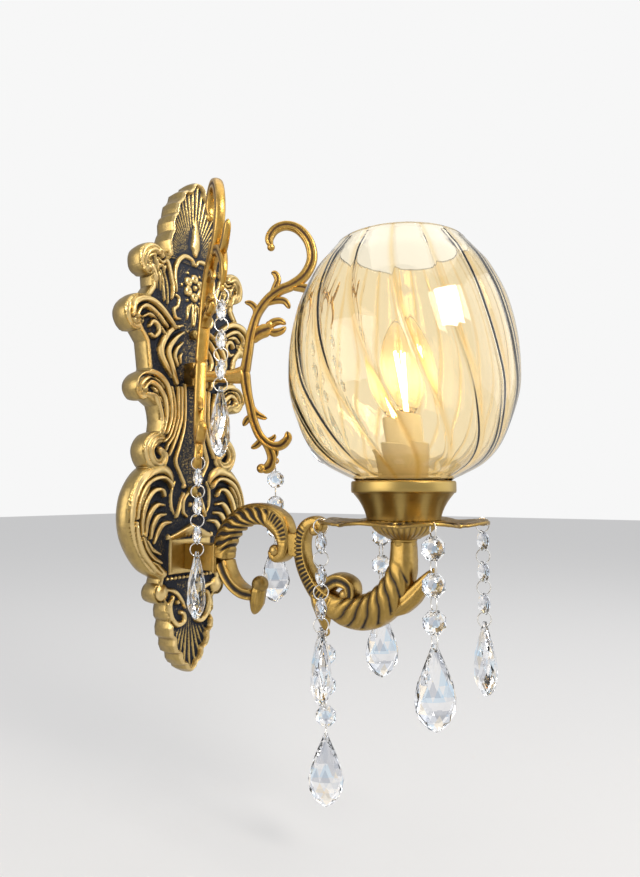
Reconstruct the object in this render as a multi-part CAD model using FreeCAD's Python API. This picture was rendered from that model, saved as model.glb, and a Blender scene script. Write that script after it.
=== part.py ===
import FreeCAD, Part
import math
import os

from FreeCAD import Vector

os.makedirs("parts", exist_ok=True)

# Crystal wall sconce, millimetres. +Z up, the wall is the plane y = 0, the light stands out to -Y.
# The origin is the middle of the wall bracket. Most places are given as (out, up): out from the
# front rim of the backplate, up from the plane of the drip pan.

# ---- driving dimensions -------------------------------------------------------------------
PLATE_DEPTH = 20.0        # wall to the front rim of the backplate
PLATE_FIELD = 9.0         # wall to the sunken field inside the rim
PLATE_WALL = 3.0          # thickness of the casting
PAN_DROP = 75.0           # bracket centre down to the drip pan
REACH = 183.0             # front rim to the lamp axis
CLEAR = 0.05              # running clearance, radial
SEAT = 0.3                # gap that keeps separately moving pieces apart

BRACKET_W, BRACKET_T = 16.0, 1.6
BRACKET_FLANGE = 4.0      # how far the folded edges of the bracket stand off the wall
SCREW_SPACING = 60.0
SCREW_HOLE_R = 2.25
STUD_R = 2.0
STUD_UPS = (19.6, 146.0)  # up of the two studs that hold the backplate
CAP_NUT_R = 4.2

BOSS_W, BOSS_UP, BOSS_H = 44.0, -31.0, 27.0   # square boss that carries the arm
BOSS_OUT = -5.0
TENON_W, TENON_H, TENON_OUT = 16.0, 20.0, 28.0
NIPPLE_R, NIPPLE_BORE_R = 5.0, 3.5            # M10 threaded tube
NUT_AF, NUT_T = 14.0, 2.0

BLOCK_W, BLOCK_H, BLOCK_UP, BLOCK_OUT = 17.0, 19.0, 112.0, 3.0
FAN_LOW, FAN_HIGH = 40.5, 34.5                # degrees between a branch and straight out
BRANCH_ROOT = -6.0                            # out of the point where the two branches meet

PAN_R, PAN_T, PAN_LOBES = 54.5, 1.8, 8
PAN_HOLE_RING = 49.4      # radius of the circle of string holes
PAN_HOLE_R = 2.0
PAN_HANG = 52.9           # radius of the circle on which the strings hang
PAN_LINK_DROP = 3.3       # top of the pan down to the middle of a string's first ring
EYE_R, EYE_HOLE_R, EYE_T = 2.8, 1.4, 2.4
ARM_EYE_R, ARM_EYE_HOLE_R = 3.2, 1.9          # its ring passes through it at a slant
EYE_LINK_DROP = 5.2       # middle of an eye down to the middle of a string's first ring
DOME_R, DOME_FOOT_R, DOME_H, DOME_RIBS = 20.5, 10.5, 12.0, 24
NECK_R = 8.0

CUP_RIM_R, CUP_FOOT_R, CUP_H, CUP_BAND = 33.0, 23.3, 25.6, 7.4
CUP_WALL = 1.2
HOLDER_R, HOLDER_THREAD_R, HOLDER_STEP, HOLDER_TOP = 11.8, 16.5, 48.7, 67.0
COLLAR_R, COLLAR_T = 22.0, 2.3                # the flange of the lampholder that the shade rests on
RING_BORE_R, RING_R, RING_T = 16.8, 24.0, 4.0
CAP_R = 6.8
BULB_R, BULB_BASE, BULB_TOP = 18.8, 70.0, 131.5
BULB_WALL = 0.8

SHADE_RIBS, SHADE_TWIST, SHADE_WALL = 16, 62.0, 2.6
SHADE_RIB_DEPTH = 0.022   # rib height as a share of the radius
SHADE_PROFILE = [(29.5, 23.5), (30.6, 26.2), (38.0, 29.8), (50.0, 36.6), (59.5, 47.0),
                 (66.5, 62.0), (72.0, 80.0), (73.0, 96.0), (71.0, 118.0), (63.5, 145.5), (52.5, 164.5), (42.5, 176.5)]

BEAD_R, BEAD_T, BEAD_TABLE = 7.2, 6.6, 0.56
BEAD_HOLE_AT, BEAD_HOLE_R = 5.3, 1.0
LINK_R, LINK_WIRE = 4.6, 0.8                  # jump ring: mean radius and wire
LINK_TO_HOLE = 4.65       # middle of a ring to the middle of the bead hole it passes
PENDANT_LEN, PENDANT_W, PENDANT_T = 46.0, 24.0, 12.6
PENDANT_HOLE_AT = 3.2


# ---- frames -------------------------------------------------------------------------------
def at(x, out, up):
    return Vector(x, -PLATE_DEPTH - out, up - PAN_DROP)


def arm_plane(u, v, n):
    """Out, up and sideways in the middle plane of the sconce."""
    return at(n, u, v)


def plate_plane(u, v, n):
    """Across, up and off the wall, on the backplate."""
    return Vector(u, -n, v - PAN_DROP)


def branch_plane(side):
    """The gently twisted plane of one upper branch: along the fan direction, up, and across."""
    def place(u, v, n):
        share = min(1.0, max(0.0, (v - 40.0) / 110.0))
        fan = math.radians(FAN_LOW + (FAN_HIGH - FAN_LOW) * share)
        x = u * math.sin(fan) + n * math.cos(fan)
        out = BRANCH_ROOT + u * math.cos(fan) - n * math.sin(fan)
        return at(side * x, out, v)
    return place


# ---- forms --------------------------------------------------------------------------------
def facet(a, b, c):
    return Part.Face(Part.makePolygon([a, b, c, a]))


def skin(rings):
    """A closed solid over rings of equally many points, each end closed by a fan."""
    faces = []
    count = len(rings[0])
    for low, high in zip(rings, rings[1:]):
        for i in range(count):
            j = (i + 1) % count
            faces.append(facet(low[i], low[j], high[j]))
            faces.append(facet(low[i], high[j], high[i]))
    for ring in (rings[0], rings[-1]):
        middle = sum(ring, Vector()) * (1.0 / count)
        for i in range(count):
            faces.append(facet(ring[i], ring[(i + 1) % count], middle))
    solid = Part.makeSolid(Part.makeShell(faces))
    if solid.Volume < 0:
        solid.reverse()
    return solid


def turned(profile, count, radius=lambda r, z, angle: r, twist=lambda z: 0.0):
    """Rings for a turned form about the lamp axis, from (radius, up) pairs."""
    rings = []
    for r, z in profile:
        ring = []
        for i in range(count):
            angle = 2 * math.pi * i / count
            reach = radius(r, z, angle)
            turn = angle + twist(z)
            ring.append(at(reach * math.cos(turn), REACH + reach * math.sin(turn), z))
        rings.append(ring)
    return rings


def lamp_axis(x, y, z):
    return at(x, REACH + y, z)


def revolved(profile, sides=24, place=lamp_axis):
    """A turned solid from a closed (radius, along) outline, in even flats."""
    faces = []
    for (r0, z0), (r1, z1) in zip(profile, profile[1:] + profile[:1]):
        if r0 == 0 and r1 == 0:
            continue
        for i in range(sides):
            loop = []
            for r, z, step in ((r0, z0, i), (r0, z0, i + 1), (r1, z1, i + 1), (r1, z1, i)):
                turn = 2 * math.pi * (step % sides) / sides
                spot = place(r * math.cos(turn), r * math.sin(turn), z)
                if spot not in loop:
                    loop.append(spot)
            faces.append(Part.Face(Part.makePolygon(loop + loop[:1])))
    solid = Part.makeSolid(Part.makeShell(faces))
    if solid.Volume < 0:
        solid.reverse()
    return solid.removeSplitter()


def spread(values, share):
    """The value at a share of the way along a list."""
    where = share * (len(values) - 1)
    i = min(int(where), len(values) - 2)
    return values[i] + (values[i + 1] - values[i]) * (where - i)


def smooth(points, stations):
    """Points and unit tangents at even steps of length along a smooth curve through points."""
    curve = Part.BSplineCurve()
    curve.interpolate([Vector(u, v, 0) for u, v in points])
    edge = curve.toShape()
    fine = edge.discretize(stations)
    steps = []
    for i, p in enumerate(fine):
        t = fine[min(i + 1, stations - 1)] - fine[max(i - 1, 0)]
        t.normalize()
        steps.append((p.x, p.y, t.x, t.y))
    return steps


def scroll(place, points, widths, thicks, stations=14, sides=8):
    """A tapering scroll: rounded sections along a smooth line, width in the plane, thickness across."""
    rings = []
    for k, (x, y, tx, ty) in enumerate(smooth(points, stations)):
        share = k / (stations - 1)
        a, b = spread(widths, share), spread(thicks, share)
        ring = []
        for i in range(sides):
            angle = 2 * math.pi * (i + 0.5) / sides
            c, s = math.cos(angle), math.sin(angle)
            ring.append(place(x - ty * a * c, y + tx * a * c, b * s))
        rings.append(ring)
    return skin(rings)


def raised(points, widths, heights, stations, foot):
    """A rounded moulding that stands on the plate: its section is an arch off the field."""
    rings = []
    for k, (x, y, tx, ty) in enumerate(smooth(points, stations)):
        share = k / (stations - 1)
        a, h = spread(widths, share), spread(heights, share)
        shoulder = foot + (h - foot) * 0.75
        arch = ((-1, foot), (-0.8, shoulder), (-0.4, h), (0.4, h), (0.8, shoulder), (1, foot))
        rings.append([plate_plane(x - ty * a * s, y + tx * a * s, n) for s, n in arch])
    return skin(rings)


def dome_knob(place, centre, radius, low, high, sides=10):
    """A round knob on the plate with a domed front."""
    u, v = centre
    rings = []
    for r, n in ((radius, low), (radius, low + (high - low) * 0.6), (radius * 0.72, high * 0.95),
                 (radius * 0.3, high)):
        rings.append([place(u + r * math.cos(2 * math.pi * i / sides),
                            v + r * math.sin(2 * math.pi * i / sides), n) for i in range(sides)])
    return skin(rings)


def mirrored(shape):
    return shape.mirror(Vector(), Vector(1, 0, 0))


def rod(radius, start, end, sides=16):
    """A round rod between two points, in even flats."""
    along = end - start
    turn = FreeCAD.Rotation(Vector(0, 0, 1), along)
    rim = []
    for i in range(sides):
        angle = 2 * math.pi * (i + 0.5) / sides
        rim.append(start + turn.multVec(Vector(radius * math.cos(angle), radius * math.sin(angle), 0)))
    return Part.Face(Part.makePolygon(rim + rim[:1])).extrude(along)


def post(radius, low, high, sides=16):
    """A round rod on the lamp axis."""
    return rod(radius, at(0, REACH, low), at(0, REACH, high), sides)


def box(x0, x1, out0, out1, up0, up1):
    low = at(x0, out1, up0)
    return Part.makeBox(x1 - x0, out1 - out0, up1 - up0, low)


def hexagon(centre, across_flats, thickness, axis):
    r = across_flats / math.sqrt(3)
    pts = [Vector(r * math.cos(math.pi * i / 3), r * math.sin(math.pi * i / 3), 0) for i in range(7)]
    prism = Part.Face(Part.makePolygon(pts)).extrude(Vector(0, 0, thickness))
    prism.Placement = FreeCAD.Placement(centre, FreeCAD.Rotation(Vector(0, 0, 1), axis))
    return prism


def joined(first, others):
    """One solid from pieces that overlap, added one after another."""
    body = first
    for piece in others:
        body = body.fuse(piece)
    return body.removeSplitter() if others else body


def save(name, *solids):
    shape = solids[0] if len(solids) == 1 else Part.makeCompound(list(solids))
    shape.exportStep(f"parts/{name}.step")
    print(name, "solids", len(shape.Solids), "valid", shape.isValid(), "volume",
          round(shape.Volume), "faces", len(shape.Faces))
    return shape


# ---- backplate ----------------------------------------------------------------------------
# Half outline of the casting, right side, top to bottom: (across, up).
SHELL_TOP = [(0, 273), (6, 270.5), (10, 261.5), (19, 255.5), (22.5, 243), (27.5, 236), (28.5, 223),
             (31.5, 216), (30, 204)]
SHELL_LOW = [(24, -66), (24.5, -77), (22, -91), (18.5, -96), (16.5, -104), (11, -108), (8, -115.5),
             (3.5, -118), (0, -120.5)]
SIDE = [(40, 206), (46, 197), (44, 176), (52, 164), (60, 156), (58, 143), (49, 132), (46, 112),
        (50, 103), (50, 92), (36.5, 84), (34.5, 72), (36, 58), (44, 52), (44, 42), (40, 34),
        (52, 20), (57, 8), (58, -3), (55, -16), (49, -28), (39, -40), (31, -46), (34, -57),
        (26, -64)]

# Scrolls of the right side: line, half widths, heights off the wall.
SCROLLS = [
    ([(33, 168), (37, 184), (38, 196), (44, 203), (51, 199), (52, 191), (48, 188)],
     [2.5, 4, 4.5, 5, 4.5, 4, 3], [11, 15, 18, 20, 20, 18, 15]),
    ([(30, 152), (38, 158), (48, 161), (58, 159), (63.5, 151), (60, 144), (54, 147)],
     [3, 4, 4.5, 5, 5, 4.5, 3], [12, 16, 19, 20, 20, 18, 15]),
    ([(19, 118), (27, 122), (34, 128), (36, 137), (31, 143), (25, 141)],
     [2.5, 3.5, 4, 4, 3.5, 2], [12, 15, 17, 18, 17, 14]),
    ([(40, 132), (45, 138), (47, 145), (43, 149)], [2.5, 3, 3, 2], [14, 16, 16, 14]),
    ([(28, 62), (30, 78), (34, 92), (40, 101), (48, 103.5), (54, 98), (52, 92), (46, 93)],
     [3, 4, 4.5, 5, 5, 4.5, 4, 2.5], [14, 17, 18, 20, 20, 19, 17, 14]),
    ([(22, 58), (23.5, 78), (27, 98), (33, 112), (41, 120), (44, 128)],
     [1.6, 1.8, 1.8, 1.8, 1.6, 1.2], [15, 16, 16, 16, 15, 13]),
    ([(16.5, 58), (17.5, 78), (18, 98), (21, 112)], [1.4, 1.6, 1.6, 1.2], [15, 16, 15, 13]),
    ([(25, 60), (31, 60), (40, 58), (45, 50), (41, 41), (33, 40), (29, 46), (34, 50.5)],
     [3, 3.5, 4, 4, 4, 4, 3.5, 2.5], [15, 17, 19, 19, 19, 18, 17, 18]),
    ([(20, 22), (24, 32), (33, 36), (44, 30), (52, 18), (55, 4), (53.5, -10), (48, -23), (39, -35),
      (27, -43)],
     [3, 4, 4.5, 5, 5.5, 5.5, 5.5, 5, 4.5, 3], [14, 17, 18, 20, 20, 20, 20, 20, 19, 16]),
    ([(30, 17), (40, 16), (45, 6), (44, -8), (38, -20), (30, -28)],
     [1.8, 2.6, 3, 3, 2.6, 2], [13, 15, 16, 16, 16, 14]),
    ([(28, 8), (35, 6), (37, -4), (33, -14), (28, -20)], [1.6, 2.2, 2.4, 2.2, 1.6],
     [12, 14, 15, 15, 13]),
    ([(9, 20), (12, 10), (16, 3), (14, -4)], [2, 2.4, 2.4, 2], [13, 16, 16, 13]),
    ([(4, -84), (12, -82), (19, -74), (21, -64), (15, -60), (12, -66)],
     [1.8, 2.6, 3, 3, 2.6, 1.8], [13, 15, 17, 18, 17, 15]),
    ([(22, 176), (21, 188), (14, 204), (8, 209), (4, 206)], [1.6, 2, 2.2, 2.2, 1.6],
     [12, 14, 15, 15, 13]),
]
ROSETTE_UP = 185.0
TEARDROP = [(0, 214), (0, 226), (0, 246)]
HOLLOW = [(0, 232), (14, 226), (22, 205), (30, 190), (32, 165), (38, 150), (38, 135), (34, 110),
          (26, 90), (24, 60), (32, 36), (42, 20), (46, 5), (43, -15), (32, -34), (20, -50), (14, -75),
          (0, -92)]
FLUTES_TOP = [(5, 263), (13, 252), (19, 238), (23, 222)]
FLUTES_LOW = [(0, -110), (7, -105), (12.5, -95), (17, -84)]


def rim_band(points, width, low, high):
    """The scalloped rim of a shell end: a band inside the outline, standing proud."""
    inner = [(u * (1 - width / max(abs(u) + width, 12)), v + (width if v < 0 else -width)
              if abs(u) < 18 else v) for u, v in points]
    loop = [plate_plane(u, v, low) for u, v in points + inner[::-1]]
    return Part.Face(Part.makePolygon(loop + loop[:1])).extrude(Vector(0, low - high, 0))


def plate_prism(points, low, high):
    """A prism on the plate between two heights off the wall."""
    loop = [plate_plane(u, v, low) for u, v in points]
    return Part.Face(Part.makePolygon(loop + loop[:1])).extrude(Vector(0, low - high, 0))


def make_backplate():
    top_of_field = PLATE_FIELD + PLATE_WALL
    half = plate_prism(SHELL_TOP + SIDE + SHELL_LOW, 0, top_of_field)
    half = half.cut(plate_prism(HOLLOW, -1, PLATE_FIELD))
    relief = []
    for k, (points, widths, heights) in enumerate(SCROLLS):
        foot = PLATE_FIELD + 0.07 * (k + 1)      # each foot at its own depth inside the field
        relief.append(raised(points, widths, heights, len(points), foot))
    relief.append(dome_knob(plate_plane, (29, -57), 8.0, 1.0, 17.0))
    relief.append(rim_band(SHELL_TOP, 3.2, PLATE_FIELD, PLATE_DEPTH))
    relief.append(rim_band(SHELL_LOW, 3.0, PLATE_FIELD, PLATE_DEPTH - 2))
    for hub, tips in (((0, 226), FLUTES_TOP), ((0, -74), FLUTES_LOW)):
        for u, v in tips:
            line = [hub, ((u + hub[0]) / 2, (v + hub[1]) / 2), (u, v)]
            relief.append(raised(line, [1.2, 1.8, 2.4], [13, 13.5, 16], 4, PLATE_FIELD + 0.03 * (v % 7)))
    keep = Part.makeBox(100, PLATE_DEPTH + 2, 420, plate_plane(0, -130, PLATE_DEPTH + 1))
    half = joined(half, relief).common(keep)
    body = half.fuse(mirrored(half)).removeSplitter()
    middle = [scroll(plate_plane, TEARDROP, [5.5, 5, 1.5], [14.5, 15, 12.5], 6, 8).common(
        Part.makeBox(40, 12, 60, plate_plane(-20, 205, PLATE_FIELD + 12)))]
    middle.append(dome_knob(plate_plane, (0, ROSETTE_UP), 3.7, PLATE_FIELD + 1, 17.0, 8))
    for i in range(6):
        angle = 2 * math.pi * i / 6
        spot = (6.2 * math.cos(angle), ROSETTE_UP + 6.2 * math.sin(angle))
        middle.append(dome_knob(plate_plane, spot, 3.0, PLATE_FIELD + 0.5, 15.5, 7))
    middle.append(box(-BOSS_W / 2, BOSS_W / 2, PLATE_FIELD - PLATE_DEPTH, BOSS_OUT,
                      BOSS_UP - BOSS_H / 2, BOSS_UP + BOSS_H / 2))
    roof = ((-24, -17.7), (24, -17.7), (0, -6))
    middle.append(plate_prism(roof, PLATE_FIELD + 0.8, PLATE_DEPTH - 2))
    body = joined(body, middle)
    holes = [wall_face(BOSS_UP, NIPPLE_R + CLEAR, 60, -1), wall_face(BLOCK_UP, STUD_R + CLEAR, 60, -1)]
    holes += [wall_face(up, STUD_R + SEAT, 60, -1) for up in STUD_UPS]
    return body.cut(Part.makeCompound(holes))


# ---- what holds the plate -----------------------------------------------------------------
FIELD_OUT = PLATE_FIELD + PLATE_WALL - PLATE_DEPTH     # out of the sunken field's front face
BACK_OUT = FIELD_OUT - PLATE_WALL             # out of the hollow's roof


def wall_face(up, radius, depth, start=0.0):
    """A rod standing off the wall at a height."""
    return rod(radius, at(0, start - PLATE_DEPTH, up), at(0, start + depth - PLATE_DEPTH, up))


def make_bracket():
    half_w = BRACKET_W / 2
    strip = Part.makeBox(BRACKET_W, BRACKET_T, STUD_UPS[1] - STUD_UPS[0] + 20,
                         Vector(-half_w, -BRACKET_T, STUD_UPS[0] - PAN_DROP - 10))
    for x in (-half_w, half_w - BRACKET_T):
        strip = strip.fuse(Part.makeBox(BRACKET_T, BRACKET_FLANGE, strip.BoundBox.ZLength,
                                        Vector(x, -BRACKET_FLANGE, strip.BoundBox.ZMin)))
    strip = strip.removeSplitter()
    holes = [Part.makeCylinder(SCREW_HOLE_R, BRACKET_T + 2, Vector(0, 1, z), Vector(0, -1, 0))
             for z in (-SCREW_SPACING / 2, SCREW_SPACING / 2)]
    holes += [wall_face(up, STUD_R - 0.01, BRACKET_T + 2, -1) for up in STUD_UPS]
    return strip.cut(Part.makeCompound(holes))


def make_studs():
    return [wall_face(up, STUD_R - 0.02, PLATE_FIELD + 3 + 5.0) for up in STUD_UPS]


def make_cap_nuts():
    nuts = []
    base = PLATE_FIELD + PLATE_WALL
    for up in STUD_UPS:
        profile = [(STUD_R + 0.06, base), (CAP_NUT_R * 0.8, base), (CAP_NUT_R, base + 2.2),
                   (CAP_NUT_R * 0.86, base + 5.0), (CAP_NUT_R * 0.5, base + 6.8), (0, base + 7.4),
                   (0, base + 5.2), (STUD_R + 0.06, base + 5.2)]
        nuts.append(revolved(profile, 16, lambda x, y, n: plate_plane(x, up + y, n)))
    return nuts


# ---- upper branches -----------------------------------------------------------------------
# One branch: (line along the fan and up), half widths, half thicknesses.
BRANCH_RODS = [
    ([(41.2, 113), (44, 130), (46.5, 146), (51.5, 163), (59.5, 175), (69.5, 183), (79.6, 187.5),
      (89, 194.5), (95, 205), (96, 215), (92.5, 226), (84.5, 235), (74.5, 238), (65.5, 234.5),
      (60.8, 226.5), (63, 219)],
     [4.2, 3.6, 3.5, 3.5, 3.2, 3.4, 3.6, 3.8, 4, 4, 4, 3.8, 3.6, 3.4, 3.4, 3],
     [4.3, 4.3, 4.2, 4.0, 3.6, 3.4, 3.4, 3.4, 3.2], 19),
    ([(79, 186.5), (92, 184.5), (103, 179), (110, 170), (111.5, 163), (109, 157.5), (106.5, 154.8)],
     [2.6, 3.2, 3.4, 3.4, 3, 2.6, 1.8], [2.8, 3.2, 1.4], 9),
    ([(103, 179), (111, 181), (118, 187), (123, 194)], [2.6, 2.6, 2.6, 1.8], [2.8, 2.4, 2], 5),
    ([(63, 178), (66, 186), (68, 192), (66, 197), (62.5, 198)], [2.2, 2.2, 2.2, 2.2, 1.8],
     [2.4, 2.2], 7),
    ([(58, 173), (67, 175), (74, 174), (78, 168)], [2.4, 2.4, 2.2, 1.6], [2.4, 2], 6),
    ([(50, 160), (50.5, 167), (46.5, 172), (41, 173.5)], [2.2, 2.2, 2, 1.4], [2.4, 1.8], 6),
    ([(46, 141), (52, 147), (58, 150), (65, 153)], [3, 4, 4.4, 2], [3.2, 3.6, 2], 5),
    ([(41.2, 117), (43.4, 101), (46, 89), (49, 76), (54.5, 63.5), (63, 56.5), (71, 56.5),
      (76.5, 62), (76, 68)], [4.2, 3.8, 3.4, 3.3, 3.3, 3.3, 3.4, 3.6, 2.8],
     [4.2, 4, 3.6, 3.2], 14),
    ([(46, 90), (50, 83), (57, 79), (60, 78.5)], [2, 2.4, 2, 1.4], [2.4, 1.8], 5),
    ([(49, 79), (44.5, 78), (40.5, 72)], [2, 2.2, 1.6], [2.2, 1.8], 4),
    ([(56, 62), (52, 57), (47, 54)], [2, 2.2, 1.6], [2.2, 1.8], 4),
    ([(60, 60), (64.5, 62), (66.5, 65.5)], [1.8, 1.8, 1.2], [2.2, 1.6], 5),
    ([(58, 60), (62, 53), (64, 45), (61, 38.5), (55, 37.5)], [2.6, 2.8, 3, 3.6, 3], [2.6, 3, 3],
     8),
    ([(66.5, 56), (67.5, 51), (67, 46.5)], [1.8, 1.6, 1.2], [2, 1.2], 4),
    ([(8, 112), (24, 112), (34, 112.5), (41.2, 114)], [4.4, 4.4, 5.4, 7.5], [4.2, 4.2, 4], 5),
]
HOOK_F = (67.0, 44.0)     # lower eye of a branch
HOOK_G = (106.0, 153.7)   # front eye of a branch


def eye(place, spot, rim=EYE_R, hole=EYE_HOLE_R):
    """A small flat eye for a string, and the hole through it."""
    def prism(radius, half):
        sides = 10
        rings = [[place(spot[0] + radius * math.cos(2 * math.pi * i / sides),
                        spot[1] + radius * math.sin(2 * math.pi * i / sides), n)
                  for i in range(sides)] for n in (-half, half)]
        return skin(rings)
    return prism(rim, EYE_T / 2), prism(hole, EYE_T * 2)


def make_branch(side):
    place = branch_plane(side)
    rods = [scroll(place, line, widths, thicks, stations, 6 if stations > 10 else 5)
            for line, widths, thicks, stations in BRANCH_RODS]
    low, low_hole = eye(place, HOOK_F)
    high, high_hole = eye(place, HOOK_G)
    branch = joined(rods[0], rods[1:] + [low, high])
    return branch.cut(low_hole).cut(high_hole).cut(make_block())


def make_block():
    block = box(-BLOCK_W / 2, BLOCK_W / 2, FIELD_OUT, BLOCK_OUT, BLOCK_UP - BLOCK_H / 2,
                BLOCK_UP + BLOCK_H / 2)
    return block.cut(wall_face(BLOCK_UP, STUD_R + 0.02, 8.0, PLATE_FIELD + 2))


def make_block_screw():
    shaft = wall_face(BLOCK_UP, STUD_R - 0.02, 8.0 + PLATE_WALL, PLATE_FIELD + 3 - PLATE_WALL - 1)
    head = wall_face(BLOCK_UP, 3.6, 2.2, PLATE_FIELD + 3 - PLATE_WALL - 2.2)
    return shaft.fuse(head).removeSplitter()


# ---- arm ----------------------------------------------------------------------------------
INNER_RODS = [
    ([(30, -31), (31.5, -21), (37, -10.5), (46, -2.5), (57, 2), (68, 2.8), (79, 0), (87, -6.5),
      (90.5, -16), (89, -25), (83.5, -28), (80, -24.5), (82.5, -21)],
     [7.5, 8, 8, 8, 8, 8, 8, 8.4, 8.8, 6.6, 4.5, 3.2, 2.2], [8, 8, 8, 8, 7.5, 7], 22, 8),
    ([(31, -33), (35.5, -42), (42, -49.5), (51, -54.5), (62, -56)], [6, 5, 4.6, 4.4, 4], [7, 6.5, 6],
     7, 8),
    ([(66, -44), (65, -52), (63, -62), (60.5, -70)], [3.4, 5.4, 5.6, 2.4], [4.5, 6.5, 6, 3], 6, 8),
]
OUTER_RODS = [
    ([(118.5, -8), (121, -3.5), (116, -1.5), (109, -5), (104.5, -14), (105, -26), (109.5, -37.5),
      (117, -48), (127, -56), (139, -61), (151, -61.7), (162, -59), (171, -52), (178, -42),
      (182.5, -30), (183, -19), (183, -12)],
     [3, 4, 5, 5, 5, 5.2, 5.4, 6, 7, 8.4, 9, 9, 9, 8.7, 8, 7.4, 7.4],
     [5, 7, 7, 7, 7.5, 8.5, 9, 8.7, 7.6, 7.4], 28, 8),
    ([(118, -50), (121, -62), (123.6, -73.6)], [5, 5, 2.2], [6, 5, 1.2], 6, 8),
    ([(119, -51), (127, -43.5), (136, -40), (143.5, -43), (143.5, -50), (138.5, -51)],
     [4.4, 3.8, 3.8, 4, 3.8, 2.4],
     [5, 6.5, 6], 7, 8),
    ([(180, -40), (190, -36), (198, -31), (204, -28.5)], [5, 5, 4, 1.6], [5.5, 5, 2], 8, 8),
]
ARM_JOINT_OUT = 95.5      # the face where the two cast scrolls meet
HOOK_B = (123.6, -74.8)   # eye under the leaf of the outer scroll


def make_inner_arm():
    rods = [scroll(arm_plane, *rod) for rod in INNER_RODS]
    tenon = box(-TENON_W / 2, TENON_W / 2, BOSS_OUT, TENON_OUT, BOSS_UP - TENON_H / 2,
                BOSS_UP + TENON_H / 2)
    plinth = box(-TENON_W / 2 - 2, TENON_W / 2 + 2, TENON_OUT - 0.5, TENON_OUT + 9,
                 BOSS_UP - TENON_H / 2 - 1.5, BOSS_UP + TENON_H / 2 + 1.5)
    beyond = box(-30, 30, ARM_JOINT_OUT, ARM_JOINT_OUT + 30, -90, 30)
    arm = joined(rods[0], rods[1:] + [tenon, plinth]).cut(beyond)
    return arm.cut(wall_face(BOSS_UP, NIPPLE_R + CLEAR, 15, PLATE_DEPTH + BOSS_OUT - 1))


def make_outer_arm():
    rods = [scroll(arm_plane, *rod) for rod in OUTER_RODS]
    collar = post(NECK_R, -DOME_H - 3.5, -DOME_H + 1.5)
    before = box(-30, 30, ARM_JOINT_OUT - 30, ARM_JOINT_OUT, -90, 30)
    bore = post(NIPPLE_R + CLEAR, -DOME_H - 10, -DOME_H + 4)
    pad = box(-6, 6, ARM_JOINT_OUT, ARM_JOINT_OUT + 8, -26, -10)
    leaf_eye, leaf_hole = eye(arm_plane, HOOK_B, ARM_EYE_R, ARM_EYE_HOLE_R)
    arm = joined(rods[0], rods[1:] + [collar, pad, leaf_eye]).cut(before).cut(leaf_hole)
    above = box(-40, 40, REACH - 30, REACH + 30, -DOME_H + 1.5, 20)
    return arm.cut(above).cut(bore)


def make_arm_nipple():
    start, end = PLATE_FIELD - 1.0, PLATE_DEPTH + BOSS_OUT + 13.0
    rod = wall_face(BOSS_UP, NIPPLE_R, end - start, start)
    return rod.cut(wall_face(BOSS_UP, NIPPLE_BORE_R, end - start + 2, start - 1))


# ---- pan, cup and lampholder --------------------------------------------------------------
def make_pan():
    rim = []
    per_lobe = 6
    for i in range(PAN_LOBES * per_lobe):
        angle = 2 * math.pi * i / (PAN_LOBES * per_lobe)
        wave = abs(math.cos(angle * PAN_LOBES / 2 + PAN_LOBES * math.pi / 8))
        r = PAN_R * (0.9 + 0.1 * wave ** 0.7)
        rim.append(at(r * math.cos(angle), REACH + r * math.sin(angle), -PAN_T / 2))
    disc = Part.Face(Part.makePolygon(rim + rim[:1])).extrude(Vector(0, 0, PAN_T))
    cuts = [post(NIPPLE_R + CLEAR, -10, 10)]
    for i in range(PAN_LOBES):
        angle = 2 * math.pi * i / PAN_LOBES + math.pi / PAN_LOBES
        petal = []
        for r, side in ((28, 0), (33, 4.2), (40, 5.4), (44.5, 0), (40, -5.4), (33, -4.2)):
            x = r * math.cos(angle) - side * math.sin(angle)
            y = r * math.sin(angle) + side * math.cos(angle)
            petal.append(at(x, REACH + y, -5))
        cuts.append(Part.Face(Part.makePolygon(petal + petal[:1])).extrude(Vector(0, 0, 10)))
    for i in range(4):
        angle = math.pi / 4 + i * math.pi / 2
        spot = at(PAN_HOLE_RING * math.cos(angle), REACH + PAN_HOLE_RING * math.sin(angle), -5)
        cuts.append(rod(PAN_HOLE_R, spot, spot + Vector(0, 0, 10), 8))
    return disc.cut(Part.makeCompound(cuts))


def make_dome():
    low, high = -DOME_H + 1.5, -PAN_T / 2
    span = high - low
    profile = [(DOME_FOOT_R, low), (DOME_FOOT_R + 4, low + span * 0.25), (DOME_R - 2, low + span * 0.6),
               (DOME_R, low + span * 0.85), (DOME_R - 1.5, high)]
    body = skin(turned(profile, DOME_RIBS, lambda r, z, a: r))
    return body.cut(post(NIPPLE_R + CLEAR, -20, 20))


def make_cup():
    foot = PAN_T / 2
    outer = [(CUP_FOOT_R, foot), (CUP_FOOT_R, foot + 2.5), (CUP_FOOT_R + 2.2, foot + 8),
             (CUP_RIM_R - 4.2, CUP_H - CUP_BAND - 4), (CUP_RIM_R - 1.6, CUP_H - CUP_BAND),
             (CUP_RIM_R, CUP_H - CUP_BAND), (CUP_RIM_R, CUP_H)]
    inner = [(r - CUP_WALL, z) for r, z in outer]
    inner[0] = (inner[0][0], foot + CUP_WALL)
    inner[1] = (inner[1][0], foot + 2.5)
    inner[5] = (inner[4][0] + 0.2, CUP_H - CUP_BAND + CUP_WALL)
    inner[4] = (inner[4][0], CUP_H - CUP_BAND + CUP_WALL * 0.5)
    count = 24
    inner[6] = (CUP_RIM_R - CUP_WALL, CUP_H + 1)
    cup = skin(turned(outer, count)).cut(skin(turned(inner, count)))
    return cup.cut(post(NIPPLE_R + CLEAR, -20, 20))


def make_cup_nipple():
    low, high = -DOME_H - 9.0, PAN_T / 2 + CUP_WALL + 6.0
    return post(NIPPLE_R, low, high).cut(post(NIPPLE_BORE_R, low - 1, high + 1))


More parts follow.
